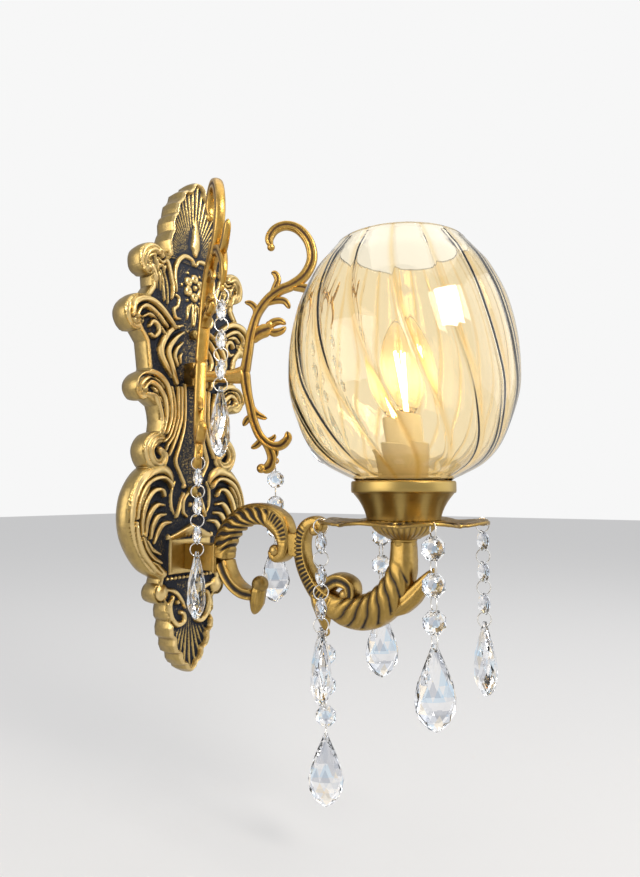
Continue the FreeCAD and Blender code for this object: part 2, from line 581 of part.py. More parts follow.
def make_holder():
    base = PAN_T / 2 + CUP_WALL + NUT_T
    seat = SHADE_PROFILE[0][1]
    bore = CAP_R + 3.0
    return revolved([(NIPPLE_R + CLEAR * 2, base), (HOLDER_THREAD_R, base),
                     (HOLDER_THREAD_R, seat - COLLAR_T), (COLLAR_R, seat - COLLAR_T), (COLLAR_R, seat),
                     (HOLDER_THREAD_R, seat), (HOLDER_THREAD_R, HOLDER_STEP), (HOLDER_R, HOLDER_STEP),
                     (HOLDER_R, HOLDER_TOP), (bore, HOLDER_TOP), (bore, 40.0),
                     (NIPPLE_R + CLEAR * 2, 40.0)])


def make_holder_insert():
    return revolved([(0, 40.5), (CAP_R + 2.9, 40.5), (CAP_R + 2.9, HOLDER_TOP - 1),
                     (CAP_R + 0.3, HOLDER_TOP - 1), (CAP_R + 0.3, 43.0), (0, 43.0)])


def make_cup_nut():
    nut = hexagon(at(0, REACH, PAN_T / 2 + CUP_WALL), NUT_AF, NUT_T, Vector(0, 0, 1))
    return nut.cut(post(NIPPLE_R + CLEAR, 0, 10))


def make_shade_ring():
    """The threaded ring that clamps the shade's floor."""
    low = SHADE_PROFILE[0][1] + SHADE_WALL + CLEAR
    return revolved([(RING_BORE_R, low), (RING_R, low), (RING_R, low + RING_T),
                     (RING_BORE_R, low + RING_T)])


def make_shade():
    base = SHADE_PROFILE[0][1]
    top = SHADE_PROFILE[-1][1]

    def rib(r, z, angle):
        fade = min(1.0, (z - base) / 25.0)
        return r * (1 + SHADE_RIB_DEPTH * fade * math.cos(SHADE_RIBS * angle))

    def twist(z):
        return math.radians(SHADE_TWIST) * (z - base) / (top - base)

    count = SHADE_RIBS * 2
    outer = turned(SHADE_PROFILE, count, rib, twist)
    bore = [(SHADE_PROFILE[0][0] - SHADE_WALL - 1, base + SHADE_WALL)]
    for before, (r, z), after in zip(SHADE_PROFILE, SHADE_PROFILE[1:], SHADE_PROFILE[2:]):
        across, along = after[0] - before[0], after[1] - before[1]
        length = math.hypot(across, along)
        bore.append((r - SHADE_WALL * along / length, z + SHADE_WALL * across / length))
    bore.append((SHADE_PROFILE[-1][0] - SHADE_WALL, top + 0.6))
    solid = skin(outer).cut(skin(turned(bore, count, rib, twist)))
    return solid.cut(post(HOLDER_THREAD_R + 0.6, base - 4, base + 8, 24))


def make_bulb():
    profile = [(7.5, BULB_BASE - 2), (10.5, BULB_BASE + 2), (16.4, BULB_BASE + 10), (BULB_R, BULB_BASE + 20),
               (17.6, BULB_BASE + 32), (13.0, BULB_BASE + 45), (6.8, BULB_BASE + 55.5),
               (1.5, BULB_TOP)]
    inner = [(max(r - BULB_WALL, 0.6), z + (BULB_WALL if i == 0 else 0) - (BULB_WALL * 2 if i == 7 else 0))
             for i, (r, z) in enumerate(profile)]
    return skin(turned(profile, 16)).cut(skin(turned(inner, 16)))


def make_bulb_cap():
    low = 43.4
    return revolved([(0, low), (2.5, low), (2.5, low + 1.2), (CAP_R, low + 4), (CAP_R, BULB_BASE - 4),
                     (7.5, BULB_BASE - 2), (0, BULB_BASE - 2)])


def make_bulb_stem():
    base = BULB_BASE - 2 + BULB_WALL
    mast = post(2.2, base, base + 22, 8)
    strips = [Part.makeBox(1.2, 1.2, 30, at(x - 0.6, REACH + y + 0.6, base + 21.5))
              for x, y in ((1.4, 0), (-1.4, 0), (0, 1.4), (0, -1.4))]
    return joined(mast, strips)


# ---- crystals -----------------------------------------------------------------------------
def turned_about(shape, centre, degrees):
    shape = shape.copy()
    shape.rotate(centre, Vector(0, 0, 1), degrees)
    return shape


def make_bead(centre):
    """An eight-sided cut bead with a hole near each end."""
    rings = []
    for share, depth in ((BEAD_TABLE, -0.5), (1.0, 0.0), (BEAD_TABLE, 0.5)):
        rings.append([centre + Vector(BEAD_R * share * math.cos(math.pi * (i + 0.5) / 4),
                                      BEAD_T * depth,
                                      BEAD_R * share * math.sin(math.pi * (i + 0.5) / 4))
                      for i in range(8)])
    bead = skin(rings)
    for sign in (-1, 1):
        middle = centre + Vector(0, -BEAD_T, sign * BEAD_HOLE_AT)
        bead = bead.cut(hole_prism(middle, BEAD_HOLE_R, BEAD_T * 2))
    return bead.removeSplitter()


def hole_prism(start, radius, length):
    pts = [start + Vector(radius * math.cos(math.pi * i / 3), 0, radius * math.sin(math.pi * i / 3))
           for i in range(7)]
    return Part.Face(Part.makePolygon(pts)).extrude(Vector(0, length, 0))


def make_link(centre):
    """A round jump ring, its plane square to the beads."""
    sides = 8
    half = LINK_WIRE / 2

    def loop(to_flat):
        radius = to_flat / math.cos(math.pi / sides)
        pts = [centre + Vector(-half, radius * math.cos(2 * math.pi * (i + 0.5) / sides),
                               radius * math.sin(2 * math.pi * (i + 0.5) / sides))
               for i in range(sides)]
        return Part.Face(Part.makePolygon(pts + pts[:1])).extrude(Vector(LINK_WIRE, 0, 0))

    return loop(LINK_R + half).cut(loop(LINK_R - half))


def make_pendant(top):
    """A flat almond drop, cut in rows of facets, with a hole under its top."""
    rows = [(0.0, 0.13), (0.16, 0.38), (0.38, 0.76), (0.66, 1.0), (0.86, 0.78), (0.96, 0.4),
            (1.0, 0.08)]
    rings = []
    for k, (drop, share) in enumerate(rows):
        ring = []
        for i in range(8):
            angle = 2 * math.pi * (i + (0.5 if k % 2 else 0.0)) / 8
            thick = PENDANT_T / 2 * min(1.0, share + 0.05) * (0.94 if k % 2 else 1.0)
            ring.append(top + Vector(PENDANT_W / 2 * share * math.cos(angle),
                                     thick * math.sin(angle), -PENDANT_LEN * drop))
        rings.append(ring)
    drop = skin(rings)
    hole = hole_prism(top + Vector(0, -PENDANT_T, -PENDANT_HOLE_AT), BEAD_HOLE_R, PENDANT_T * 2)
    return drop.cut(hole)


def make_string(name, first, yaw):
    """Ring, bead, ring, bead, ring, bead, ring, drop, from the middle of the first ring down."""
    step = 2 * (BEAD_HOLE_AT + LINK_TO_HOLE)
    beads, links = [], []
    for i in range(4):
        centre = first - Vector(0, 0, step * i)
        links.append(turned_about(make_link(centre), first, yaw))
        if i < 3:
            beads.append(turned_about(make_bead(centre - Vector(0, 0, step / 2)), first, yaw))
    last = first - Vector(0, 0, step * 3)
    top = last - Vector(0, 0, LINK_R - PENDANT_HOLE_AT)
    save(f"beads_{name}", *beads)
    save(f"links_{name}", *links)
    save(f"drop_{name}", turned_about(make_pendant(top), first, yaw))
    pivot = last - Vector(0, 0, LINK_R)
    print(f"string {name} {first.x:.3f} {first.y:.3f} {first.z:.3f} pivot {pivot.z:.3f} yaw {yaw}")


def string_places():
    """Name, middle of the first ring, and turn about the vertical of each string."""
    k = PAN_HANG / math.sqrt(2)
    down = PAN_T / 2 - PAN_LINK_DROP
    places = [("pan_front_left", at(-k, REACH + k, down), -45),
              ("pan_front_right", at(k, REACH + k, down), 45),
              ("pan_rear_left", at(-k, REACH - k, down), 45),
              ("pan_rear_right", at(k, REACH - k, down), -45),
              ("arm", at(0, HOOK_B[0], HOOK_B[1] - EYE_LINK_DROP), -60)]
    for side, word in ((-1, "left"), (1, "right")):
        place = branch_plane(side)
        for level, hook in (("low", HOOK_F), ("high", HOOK_G)):
            along = place(hook[0] + 1, hook[1], 0) - place(hook[0] - 1, hook[1], 0)
            yaw = math.degrees(math.atan2(along.y, along.x))
            spot = place(hook[0], hook[1], 0) - Vector(0, 0, EYE_LINK_DROP)
            places.append((f"branch_{level}_{word}", spot, round(yaw + 180 if yaw < -90 else yaw, 1)))
    return places


# ---- build --------------------------------------------------------------------------------
save("backplate", make_backplate())
save("wall_bracket", make_bracket())
save("bracket_studs", *make_studs())
save("cap_nuts", *make_cap_nuts())
save("branch_left", make_branch(-1))
save("branch_right", make_branch(1))
save("branch_block", make_block())
save("branch_screw", make_block_screw())
save("arm_scroll_inner", make_inner_arm())
save("arm_scroll_outer", make_outer_arm())
save("arm_nipple", make_arm_nipple())
save("drip_pan", make_pan())
save("pan_dome", make_dome())
save("glass_cup", make_cup())
save("cup_nipple", make_cup_nipple())
save("cup_nut", make_cup_nut())
save("lampholder", make_holder())
save("lampholder_insert", make_holder_insert())
save("shade_ring", make_shade_ring())
save("glass_shade", make_shade())
save("bulb_glass", make_bulb())
save("bulb_cap", make_bulb_cap())
save("bulb_stem", make_bulb_stem())
for name, first, yaw in string_places():
    make_string(name, first, yaw)
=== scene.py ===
import bmesh
import bpy
import math
import numpy as np
from mathutils import Matrix, Vector


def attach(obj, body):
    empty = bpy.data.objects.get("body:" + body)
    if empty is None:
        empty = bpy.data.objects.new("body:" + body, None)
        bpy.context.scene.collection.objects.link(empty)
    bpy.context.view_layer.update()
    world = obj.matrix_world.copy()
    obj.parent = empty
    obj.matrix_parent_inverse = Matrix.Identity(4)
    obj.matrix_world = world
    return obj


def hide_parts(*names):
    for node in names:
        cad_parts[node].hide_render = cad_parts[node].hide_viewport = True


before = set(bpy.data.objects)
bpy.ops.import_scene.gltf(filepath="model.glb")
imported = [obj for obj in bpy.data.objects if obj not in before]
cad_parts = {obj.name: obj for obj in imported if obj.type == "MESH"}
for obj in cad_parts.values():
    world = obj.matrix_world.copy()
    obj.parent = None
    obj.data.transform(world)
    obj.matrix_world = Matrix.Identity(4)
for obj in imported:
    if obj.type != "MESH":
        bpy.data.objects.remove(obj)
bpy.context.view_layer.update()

# ---- sizes, in millimetres unless a name says otherwise --------------------------------------
MM = 0.001
PLATE_DEPTH = 20.0        # wall to the front rim of the backplate
PAN_DROP = 75.0           # bracket centre down to the drip pan
REACH = 183.0             # front rim to the lamp axis

# camera: place in metres, heading and tilt in degrees, lens: solved from the photograph
CAMERA_AT = (-0.36807, -0.39423, -0.05685)
CAMERA_HEADING, CAMERA_TILT = -55.25, 4.79
CAMERA_LENS, SENSOR = 26.62, 36.0


def at(x, out, up):
    """A point in metres from sideways, out from the plate's rim, and up from the drip pan."""
    return np.array([x, -PLATE_DEPTH - out, up - PAN_DROP]) * MM


def arm_place(u, v, n):
    """A point of the arm, which lies in the plane through the lamp axis."""
    return at(n, u, v)


def eased(value, low, high):
    """The share of the way from low to high, held between 0 and 1."""
    return min(1.0, max(0.0, (value - low) / (high - low)))


def turns(count):
    """Equal angles round a full circle."""
    return [2 * math.pi * i / count for i in range(count)]


def branch_place(side):
    """The gently twisted plane of one upper branch."""
    def place(u, v, n):
        share = eased(v, 40.0, 150.0)
        fan = math.radians(40.5 - 6.0 * share)
        x = u * math.sin(fan) + n * math.cos(fan)
        v -= 1.1 * eased(v, 235.0, 270.0)     # keeps the top loop inside the box
        return at(side * x, -6.0 + u * math.cos(fan) - n * math.sin(fan), v)
    return place


# ---- shader helpers -----------------------------------------------------------------------
class Nodes:
    """A short way to write the node tree of a new material or world."""

    def __init__(self, name, kind="materials", shader="Principled BSDF"):
        self.material = getattr(bpy.data, kind).new(name)
        self.material.use_nodes = True
        self.tree = self.material.node_tree
        self.shader = self.tree.nodes[shader]

    def add(self, kind, links=(), **values):
        node = self.tree.nodes.new("ShaderNode" + kind)
        for key, value in values.items():
            if key.startswith("in_"):
                slot = key[3:]
                node.inputs[int(slot) if slot.isdigit() else slot].default_value = value
            else:
                setattr(node, key, value)
        for slot, source in links:
            self.tree.links.new(source, node.inputs[slot])
        return node

    def link(self, source, node, slot):
        self.tree.links.new(source, node.inputs[slot])

    def attribute(self, name):
        return self.add("Attribute", attribute_name=name).outputs["Fac"]

    def ramp(self, source, stops):
        node = self.add("ValToRGB", [(0, source)])
        ends = node.color_ramp.elements
        while len(ends) < len(stops):
            ends.new(0.5)
        for end, (place, colour) in zip(ends, stops):
            end.position = place
            end.color = (*colour, 1.0)
        return node.outputs[0]

    def noise(self, scale, detail=4.0, rough=0.55, stretch=None):
        where = self.add("TexCoord").outputs["Object"]
        if stretch:
            where = self.add("Mapping", [(0, where)], in_Scale=stretch).outputs[0]
        node = self.add("TexNoise", [("Vector", where)], in_Scale=scale, in_Detail=detail,
                        in_Roughness=rough)
        return node.outputs[0]

    def mix(self, factor, a, b):
        node = self.add("Mix", data_type="RGBA")
        for slot, value in ((0, factor), (6, a), (7, b)):
            if hasattr(value, "is_linked"):
                self.link(value, node, slot)
            else:
                node.inputs[slot].default_value = value if slot == 0 else (*value, 1.0)
        return node.outputs[2]

    def math(self, operation, a, b=0.0, clamp=False):
        node = self.add("Math", operation=operation, use_clamp=clamp)
        for slot, value in ((0, a), (1, b)):
            if hasattr(value, "is_linked"):
                self.link(value, node, slot)
            else:
                node.inputs[slot].default_value = value
        return node.outputs[0]

    def bump(self, height, strength, distance):
        node = self.add("Bump", [("Height", height)], in_Strength=strength, in_Distance=distance)
        self.link(node.outputs[0], self.shader, "Normal")

    def set(self, **values):
        for key, value in values.items():
            self.shader.inputs[key.replace("_", " ")].default_value = value


def antique_brass(name, gold, patina, dark_share, gloss):
    """Cast brass: patina in the hollows, worn gold on the ridges with a painted highlight on the highest of
    them, by the relief attribute.
    """
    n = Nodes(name)
    relief = n.attribute("relief")
    cloud = n.noise(220.0, 5.0, 0.6)
    fine = n.noise(1400.0, 3.0, 0.6)
    worn = n.math("ADD", relief, n.math("MULTIPLY", n.math("SUBTRACT", cloud, 0.5), 0.28))
    shade = n.ramp(worn, [(dark_share - 0.22, (0.0, 0.0, 0.0)), (dark_share + 0.16, (1.0, 1.0, 1.0))])
    tone = n.mix(cloud, tuple(c * 0.78 for c in gold), gold)
    tone = n.mix(n.math("MULTIPLY", fine, 0.25), tone, tuple(c * 0.6 for c in gold))
    # painted highlight: the highest relief turns a paler, brighter gold
    wear_and_painted_highlight = n.ramp(worn, [(0.74, (0.0, 0.0, 0.0)), (1.0, (1.0, 1.0, 1.0))])
    tone = n.mix(wear_and_painted_highlight, tone, tuple(min(1.0, c * 1.25 + 0.07) for c in gold))
    colour = n.mix(shade, patina, tone)
    n.link(colour, n.shader, "Base Color")
    rough = n.math("ADD", gloss, n.math("MULTIPLY", n.math("SUBTRACT", 1.0, shade), 0.3))
    rough = n.math("ADD", rough, n.math("MULTIPLY", cloud, 0.10))
    n.link(rough, n.shader, "Roughness")
    metal = n.math("ADD", n.math("MULTIPLY", shade, 0.35), 0.65)
    n.link(metal, n.shader, "Metallic")
    n.bump(n.math("ADD", fine, n.math("MULTIPLY", cloud, 1.5)), 0.25, 0.0004)
    return n.material


def satin_brass(name):
    """Spun brass, brushed round the lamp axis: the lines run level."""
    n = Nodes(name)
    lines = n.noise(60.0, 6.0, 0.7, stretch=(1.0, 1.0, 60.0))
    cloud = n.noise(35.0, 3.0, 0.5)
    colour = n.mix(lines, (0.38, 0.26, 0.075), (0.53, 0.38, 0.135))
    n.link(n.mix(n.math("MULTIPLY", cloud, 0.35), colour, (0.28, 0.19, 0.055)), n.shader, "Base Color")
    n.link(n.math("ADD", 0.26, n.math("MULTIPLY", lines, 0.16)), n.shader, "Roughness")
    n.set(Metallic=1.0, Anisotropic=0.5)
    n.bump(lines, 0.12, 0.0002)
    return n.material


def amber_glass(name, thin, thick):
    """Clear amber glass, deeper in colour along the ribs, where the wall is thicker."""
    n = Nodes(name)
    ribs = n.attribute("relief")
    streaks = n.noise(38.0, 3.0, 0.6, stretch=(1.0, 1.0, 0.25))
    n.link(n.mix(n.math("MULTIPLY", ribs, n.math("ADD", streaks, 0.45), True), thin, thick),
           n.shader, "Base Color")
    n.set(Transmission_Weight=1.0, IOR=1.45, Roughness=0.0)
    n.bump(streaks, 0.05, 0.0008)
    return n.material


def cut_crystal(name):
    """Cut crystal: each facet gets its own painted reflection, grey or white, and a few of them blue or
    orange glints.
    """
    n = Nodes(name)
    facet = n.attribute("facet")
    # painted reflections and glints: one flat colour for each facet
    painted_reflections = n.ramp(facet, [(0.0, (0.50, 0.53, 0.60)), (0.16, (0.80, 0.83, 0.88)), (0.32, (0.99, 0.99, 1.0)),
                          (0.74, (1.0, 1.0, 1.0)), (0.82, (0.62, 0.82, 1.0)), (0.90, (1.0, 0.84, 0.62))])
    painted_reflections.node.color_ramp.interpolation = "CONSTANT"
    n.link(painted_reflections, n.shader, "Base Color")
    n.set(Transmission_Weight=1.0, IOR=1.60, Roughness=0.0)
    return n.material


def plain(name, colour, rough, metallic, grain, depth):
    """One colour with a fine grain."""
    n = Nodes(name)
    grit = n.noise(grain, 4.0, 0.6)
    n.link(n.mix(grit, tuple(c * 0.86 for c in colour), colour), n.shader, "Base Color")
    n.link(n.math("ADD", rough - 0.05, n.math("MULTIPLY", grit, 0.1)), n.shader, "Roughness")
    n.set(Metallic=metallic)
    n.bump(grit, depth, 0.0003)
    return n.material


def lit_glass(name):
    """The bulb's glass, lit from inside: it glows where its relief value is high."""
    n = Nodes(name)
    glow = n.attribute("relief")
    n.link(n.mix(n.noise(60.0, 2.0, 0.5), (1.0, 0.96, 0.86), (1.0, 0.93, 0.80)), n.shader, "Base Color")
    n.link(n.mix(glow, (1.0, 0.62, 0.22), (1.0, 0.80, 0.46)), n.shader, "Emission Color")
    n.link(n.math("MULTIPLY", glow, 0.24), n.shader, "Emission Strength")
    n.set(Transmission_Weight=1.0, IOR=1.30, Roughness=0.0)
    return n.material


def lit_filament(name):
    """The glowing strips in the bulb."""
    n = Nodes(name)
    spots = n.noise(900.0, 2.0, 0.5)
    n.link(n.mix(spots, (1.0, 0.62, 0.22), (1.0, 0.82, 0.45)), n.shader, "Base Color")
    n.link(n.mix(spots, (1.0, 0.60, 0.22), (1.0, 0.80, 0.45)), n.shader, "Emission Color")
    n.set(Emission_Strength=14.0, Roughness=0.5)
    return n.material


DARK = (0.035, 0.028, 0.024)
PLATE_BRASS = antique_brass("plate_brass", (0.52, 0.37, 0.135), (0.022, 0.026, 0.038), 0.45, 0.24)
CAST_BRASS = antique_brass("cast_brass", (0.43, 0.275, 0.075), DARK, 0.40, 0.27)
BRANCH_BRASS = antique_brass("branch_brass", (0.58, 0.355, 0.085), (0.07, 0.035, 0.015), 0.40, 0.26)
SATIN_BRASS = satin_brass("satin_brass")
CRYSTAL = cut_crystal("crystal")
AMBER = amber_glass("amber_glass", (0.99, 0.905, 0.71), (0.93, 0.70, 0.34))
BULB_GLASS = lit_glass("bulb_glass")
WIRE = plain("link_wire", (0.78, 0.76, 0.72), 0.22, 1.0, 900.0, 0.05)
NICKEL = plain("nickel", (0.66, 0.64, 0.60), 0.28, 1.0, 700.0, 0.05)
STEEL = plain("zinc_steel", (0.55, 0.56, 0.56), 0.42, 1.0, 500.0, 0.15)
PLASTIC = plain("holder_plastic", (0.80, 0.71, 0.50), 0.42, 0.0, 300.0, 0.05)
FILAMENT = lit_filament("filament")


# ---- mesh helpers -------------------------------------------------------------------------
def facet_share(normal):
    """A share from 0 to 1 that is the same all over one cut facet."""
    mixed = sum(round(part * 12) * weight for part, weight in zip(normal, (12.99, 78.23, 37.72)))
    return (math.sin(mixed) * 4375.85) % 1.0


def show(name, data):
    """A new object in the scene."""
    obj = bpy.data.objects.new(name, data)
    bpy.context.scene.collection.objects.link(obj)
    return obj


def face_outwards(mesh):
    """Turns every face of a closed mesh outwards."""
    tools = bmesh.new()
    tools.from_mesh(mesh)
    bmesh.ops.recalc_face_normals(tools, faces=tools.faces)
    tools.to_mesh(mesh)
    tools.free()


def piece(name, verts, faces, material, body="root", nodes=(), smooth=True, relief=None, slot=None,
          facets=False):
    """One visible piece, the body it rides on and the nodes it replaces."""
    mesh = bpy.data.meshes.new(name)
    mesh.from_pydata([tuple(v) for v in verts], [], faces)
    mesh.validate()
    mesh.update()
    if relief is not None:
        layer = mesh.attributes.new("relief", "FLOAT", "POINT")
        layer.data.foreach_set("value", np.asarray(relief, np.float32)[:len(mesh.vertices)])
    if facets:
        layer = mesh.attributes.new("facet", "FLOAT", "FACE")
        layer.data.foreach_set("value", [facet_share(face.normal) for face in mesh.polygons])
    obj = show(name, mesh)
    face_outwards(mesh)
    if smooth:
        mesh.polygons.foreach_set("use_smooth", [True] * len(mesh.polygons))
    mesh.materials.append(material)
    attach(obj, body)
    if nodes:
        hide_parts(*nodes)


class Build:
    """Collects forms into one mesh with a relief value at each point."""

    def __init__(self):
        self.verts, self.faces, self.relief = [], [], []

    def add(self, verts, faces, relief=0.8):
        base = len(self.verts)
        self.verts += [tuple(v) for v in verts]
        self.faces += [tuple(base + i for i in face) for face in faces]
        values = relief if hasattr(relief, "__len__") else [relief] * len(verts)
        self.relief += list(values)

    def rings(self, rings, relief=0.8, caps=True):
        """Quads over rings of points."""
        count = len(rings[0])
        verts = [p for ring in rings for p in ring]
        faces = []
        for k in range(len(rings) - 1):
            for i in range(count):
                j = (i + 1) % count
                faces.append((k * count + i, k * count + j, (k + 1) * count + j, (k + 1) * count + i))
        if caps:
            faces.append(tuple(range(count))[::-1])
            faces.append(tuple((len(rings) - 1) * count + i for i in range(count)))
        self.add(verts, faces, relief)

    def piece(self, name, material, **options):
        piece(name, self.verts, self.faces, material, relief=self.relief, **options)


def curve(points, count):
    """Even steps along a smooth line through points: places and unit tangents."""
    p = np.array(points, float)
    p = np.vstack([2 * p[0] - p[1], p, 2 * p[-1] - p[-2]])
    fine = []
    for i in range(1, len(p) - 2):
        a, b, c, d = p[i - 1:i + 3]
        for t in np.linspace(0, 1, 16, endpoint=False):
            fine.append(0.5 * (2 * b + (c - a) * t + (2 * a - 5 * b + 4 * c - d) * t * t
                               + (3 * b - a - 3 * c + d) * t ** 3))
    fine.append(p[-2])
    fine = np.array(fine)
    run = np.concatenate([[0], np.cumsum(np.linalg.norm(np.diff(fine, axis=0), axis=1))])
    steps = np.linspace(0, run[-1], count)
    places = np.stack([np.interp(steps, run, fine[:, k]) for k in range(p.shape[1])], 1)
    tangents = np.gradient(places, axis=0)
    tangents /= np.linalg.norm(tangents, axis=1)[:, None]
    return places, tangents, run[-1]


def spread(values, count):
    """Values spread evenly over count steps, eased between."""
    return np.interp(np.linspace(0, len(values) - 1, count), range(len(values)), values)


def rounded_ends(values, count, start, end):
    """Widths that close in a round end over some steps at each end."""
    out = np.array(values, float)
    for k in range(start):
        out[k] *= math.sqrt(max(0.02, 1 - ((start - k) / start) ** 2))
    for k in range(end):
        out[count - 1 - k] *= math.sqrt(max(0.02, 1 - ((end - k) / end) ** 2))
    return out


def swept(build, place, points, widths, thicks, count=48, sides=20, surface=None, ends=(5, 5),
          relief=0.8, square=1.0):
    """A tapering cast rod. surface(share, angle, length) gives (swell, relief) at a point."""
    places, tangents, length = curve(points, count)
    a = rounded_ends(spread(widths, count), count, *ends)
    b = rounded_ends(spread(thicks, count), count, *ends)
    rings, values = [], []
    for k in range(count):
        (x, y), (tx, ty) = places[k], tangents[k]
        ring = []
        for angle in turns(sides):
            swell, value = surface(k / (count - 1), angle, length) if surface else (1.0, relief)
            c, s = math.cos(angle), math.sin(angle)
            c = math.copysign(abs(c) ** square, c) * swell
            s = math.copysign(abs(s) ** square, s) * swell
            ring.append(place(x - ty * a[k] * c, y + tx * a[k] * c, b[k] * s))
            values.append(value)
        rings.append(ring)
    build.rings(rings, values)


def on_axis(r, angle, z):
    """A point in metres at a radius and an angle about the lamp axis."""
    return at(r * math.cos(angle), REACH + r * math.sin(angle), z)


def lathe(build, profile, count, relief):
    """A turned form about the lamp axis."""
    build.rings([[on_axis(r, angle, z) for angle in turns(count)] for r, z in profile], relief)


def smooth_profile(points, count):
    """Points along a smooth line, as pairs."""
    return [tuple(p) for p in curve(points, count)[0]]


# ---- backplate ----------------------------------------------------------------------------
# Half outline of the casting, top to bottom, as (across, up), then the scrolls of that half:
# line, half widths, heights off the wall, ribs across.
SHELL_TOP = [(0, 273), (3.5, 272.6), (6.5, 270), (8, 266), (10, 263.5), (14, 262.5), (17.5, 259.5),
             (18.7, 254.5), (20.5, 251.5), (23.5, 248.5), (24.6, 243.5), (25, 239.5), (27.5, 236.5),
             (29, 231), (28.5, 224), (30, 221), (31.8, 215), (30, 204)]
SIDE = [(40, 206), (46, 197), (44, 176), (52, 164), (60, 156), (58, 143), (49, 132), (46, 112),
        (50, 103), (50, 92), (36.5, 84), (34.5, 72), (36, 58), (44, 52), (44, 42), (40, 34),
        (52, 20), (57, 8), (58, -3), (55, -16), (49, -28), (39, -40), (31, -46), (34, -57),
        (26, -64)]
SHELL_LOW = [(24, -66), (24.8, -71), (24.2, -76), (21.8, -79), (23, -84), (22.3, -90), (18.8, -93),
             (18.9, -98), (16.6, -103), (12.6, -105), (12, -109.5), (9, -113.5), (6, -114.5),
             (4.6, -117.5), (0, -120.5)]
SCROLLS = [
    ([(33, 168), (37, 184), (38, 196), (44, 203), (51, 199), (52, 191), (48, 188)],
     [2.5, 4, 4.5, 5, 4.5, 4, 3], [11, 15, 18, 20, 20, 18, 15], 2),
    ([(30, 152), (38, 158), (48, 161), (58, 159), (63.5, 151), (60, 144), (54, 147)],
     [3, 4, 4.5, 5, 5, 4.5, 3], [12, 16, 19, 20, 20, 18, 15], 2),
    ([(28, 62), (30, 78), (34, 92), (40, 101), (48, 103.5), (54, 98), (52, 92), (46, 93)],
     [3, 4, 4.5, 5, 5, 4.5, 4, 2.5], [14, 16, 17, 20, 20, 19, 17, 14], 2),
    ([(25, 60), (31, 60), (40, 58), (45, 50), (41, 41), (33, 40), (29, 46), (34, 50.5)],
     [3, 3.5, 4, 4, 4, 4, 3.5, 2.5], [15, 17, 19, 19, 19, 18, 17, 18], 2),
    ([(20, 22), (24, 32), (33, 36), (44, 30), (52, 18), (55, 4), (53.5, -10), (48, -23), (39, -35),
      (27, -43)],
     [3, 4, 4.5, 5, 5.5, 5.5, 5.5, 5, 4.5, 3], [14, 17, 18, 20, 20, 20, 20, 20, 19, 16], 1),
]
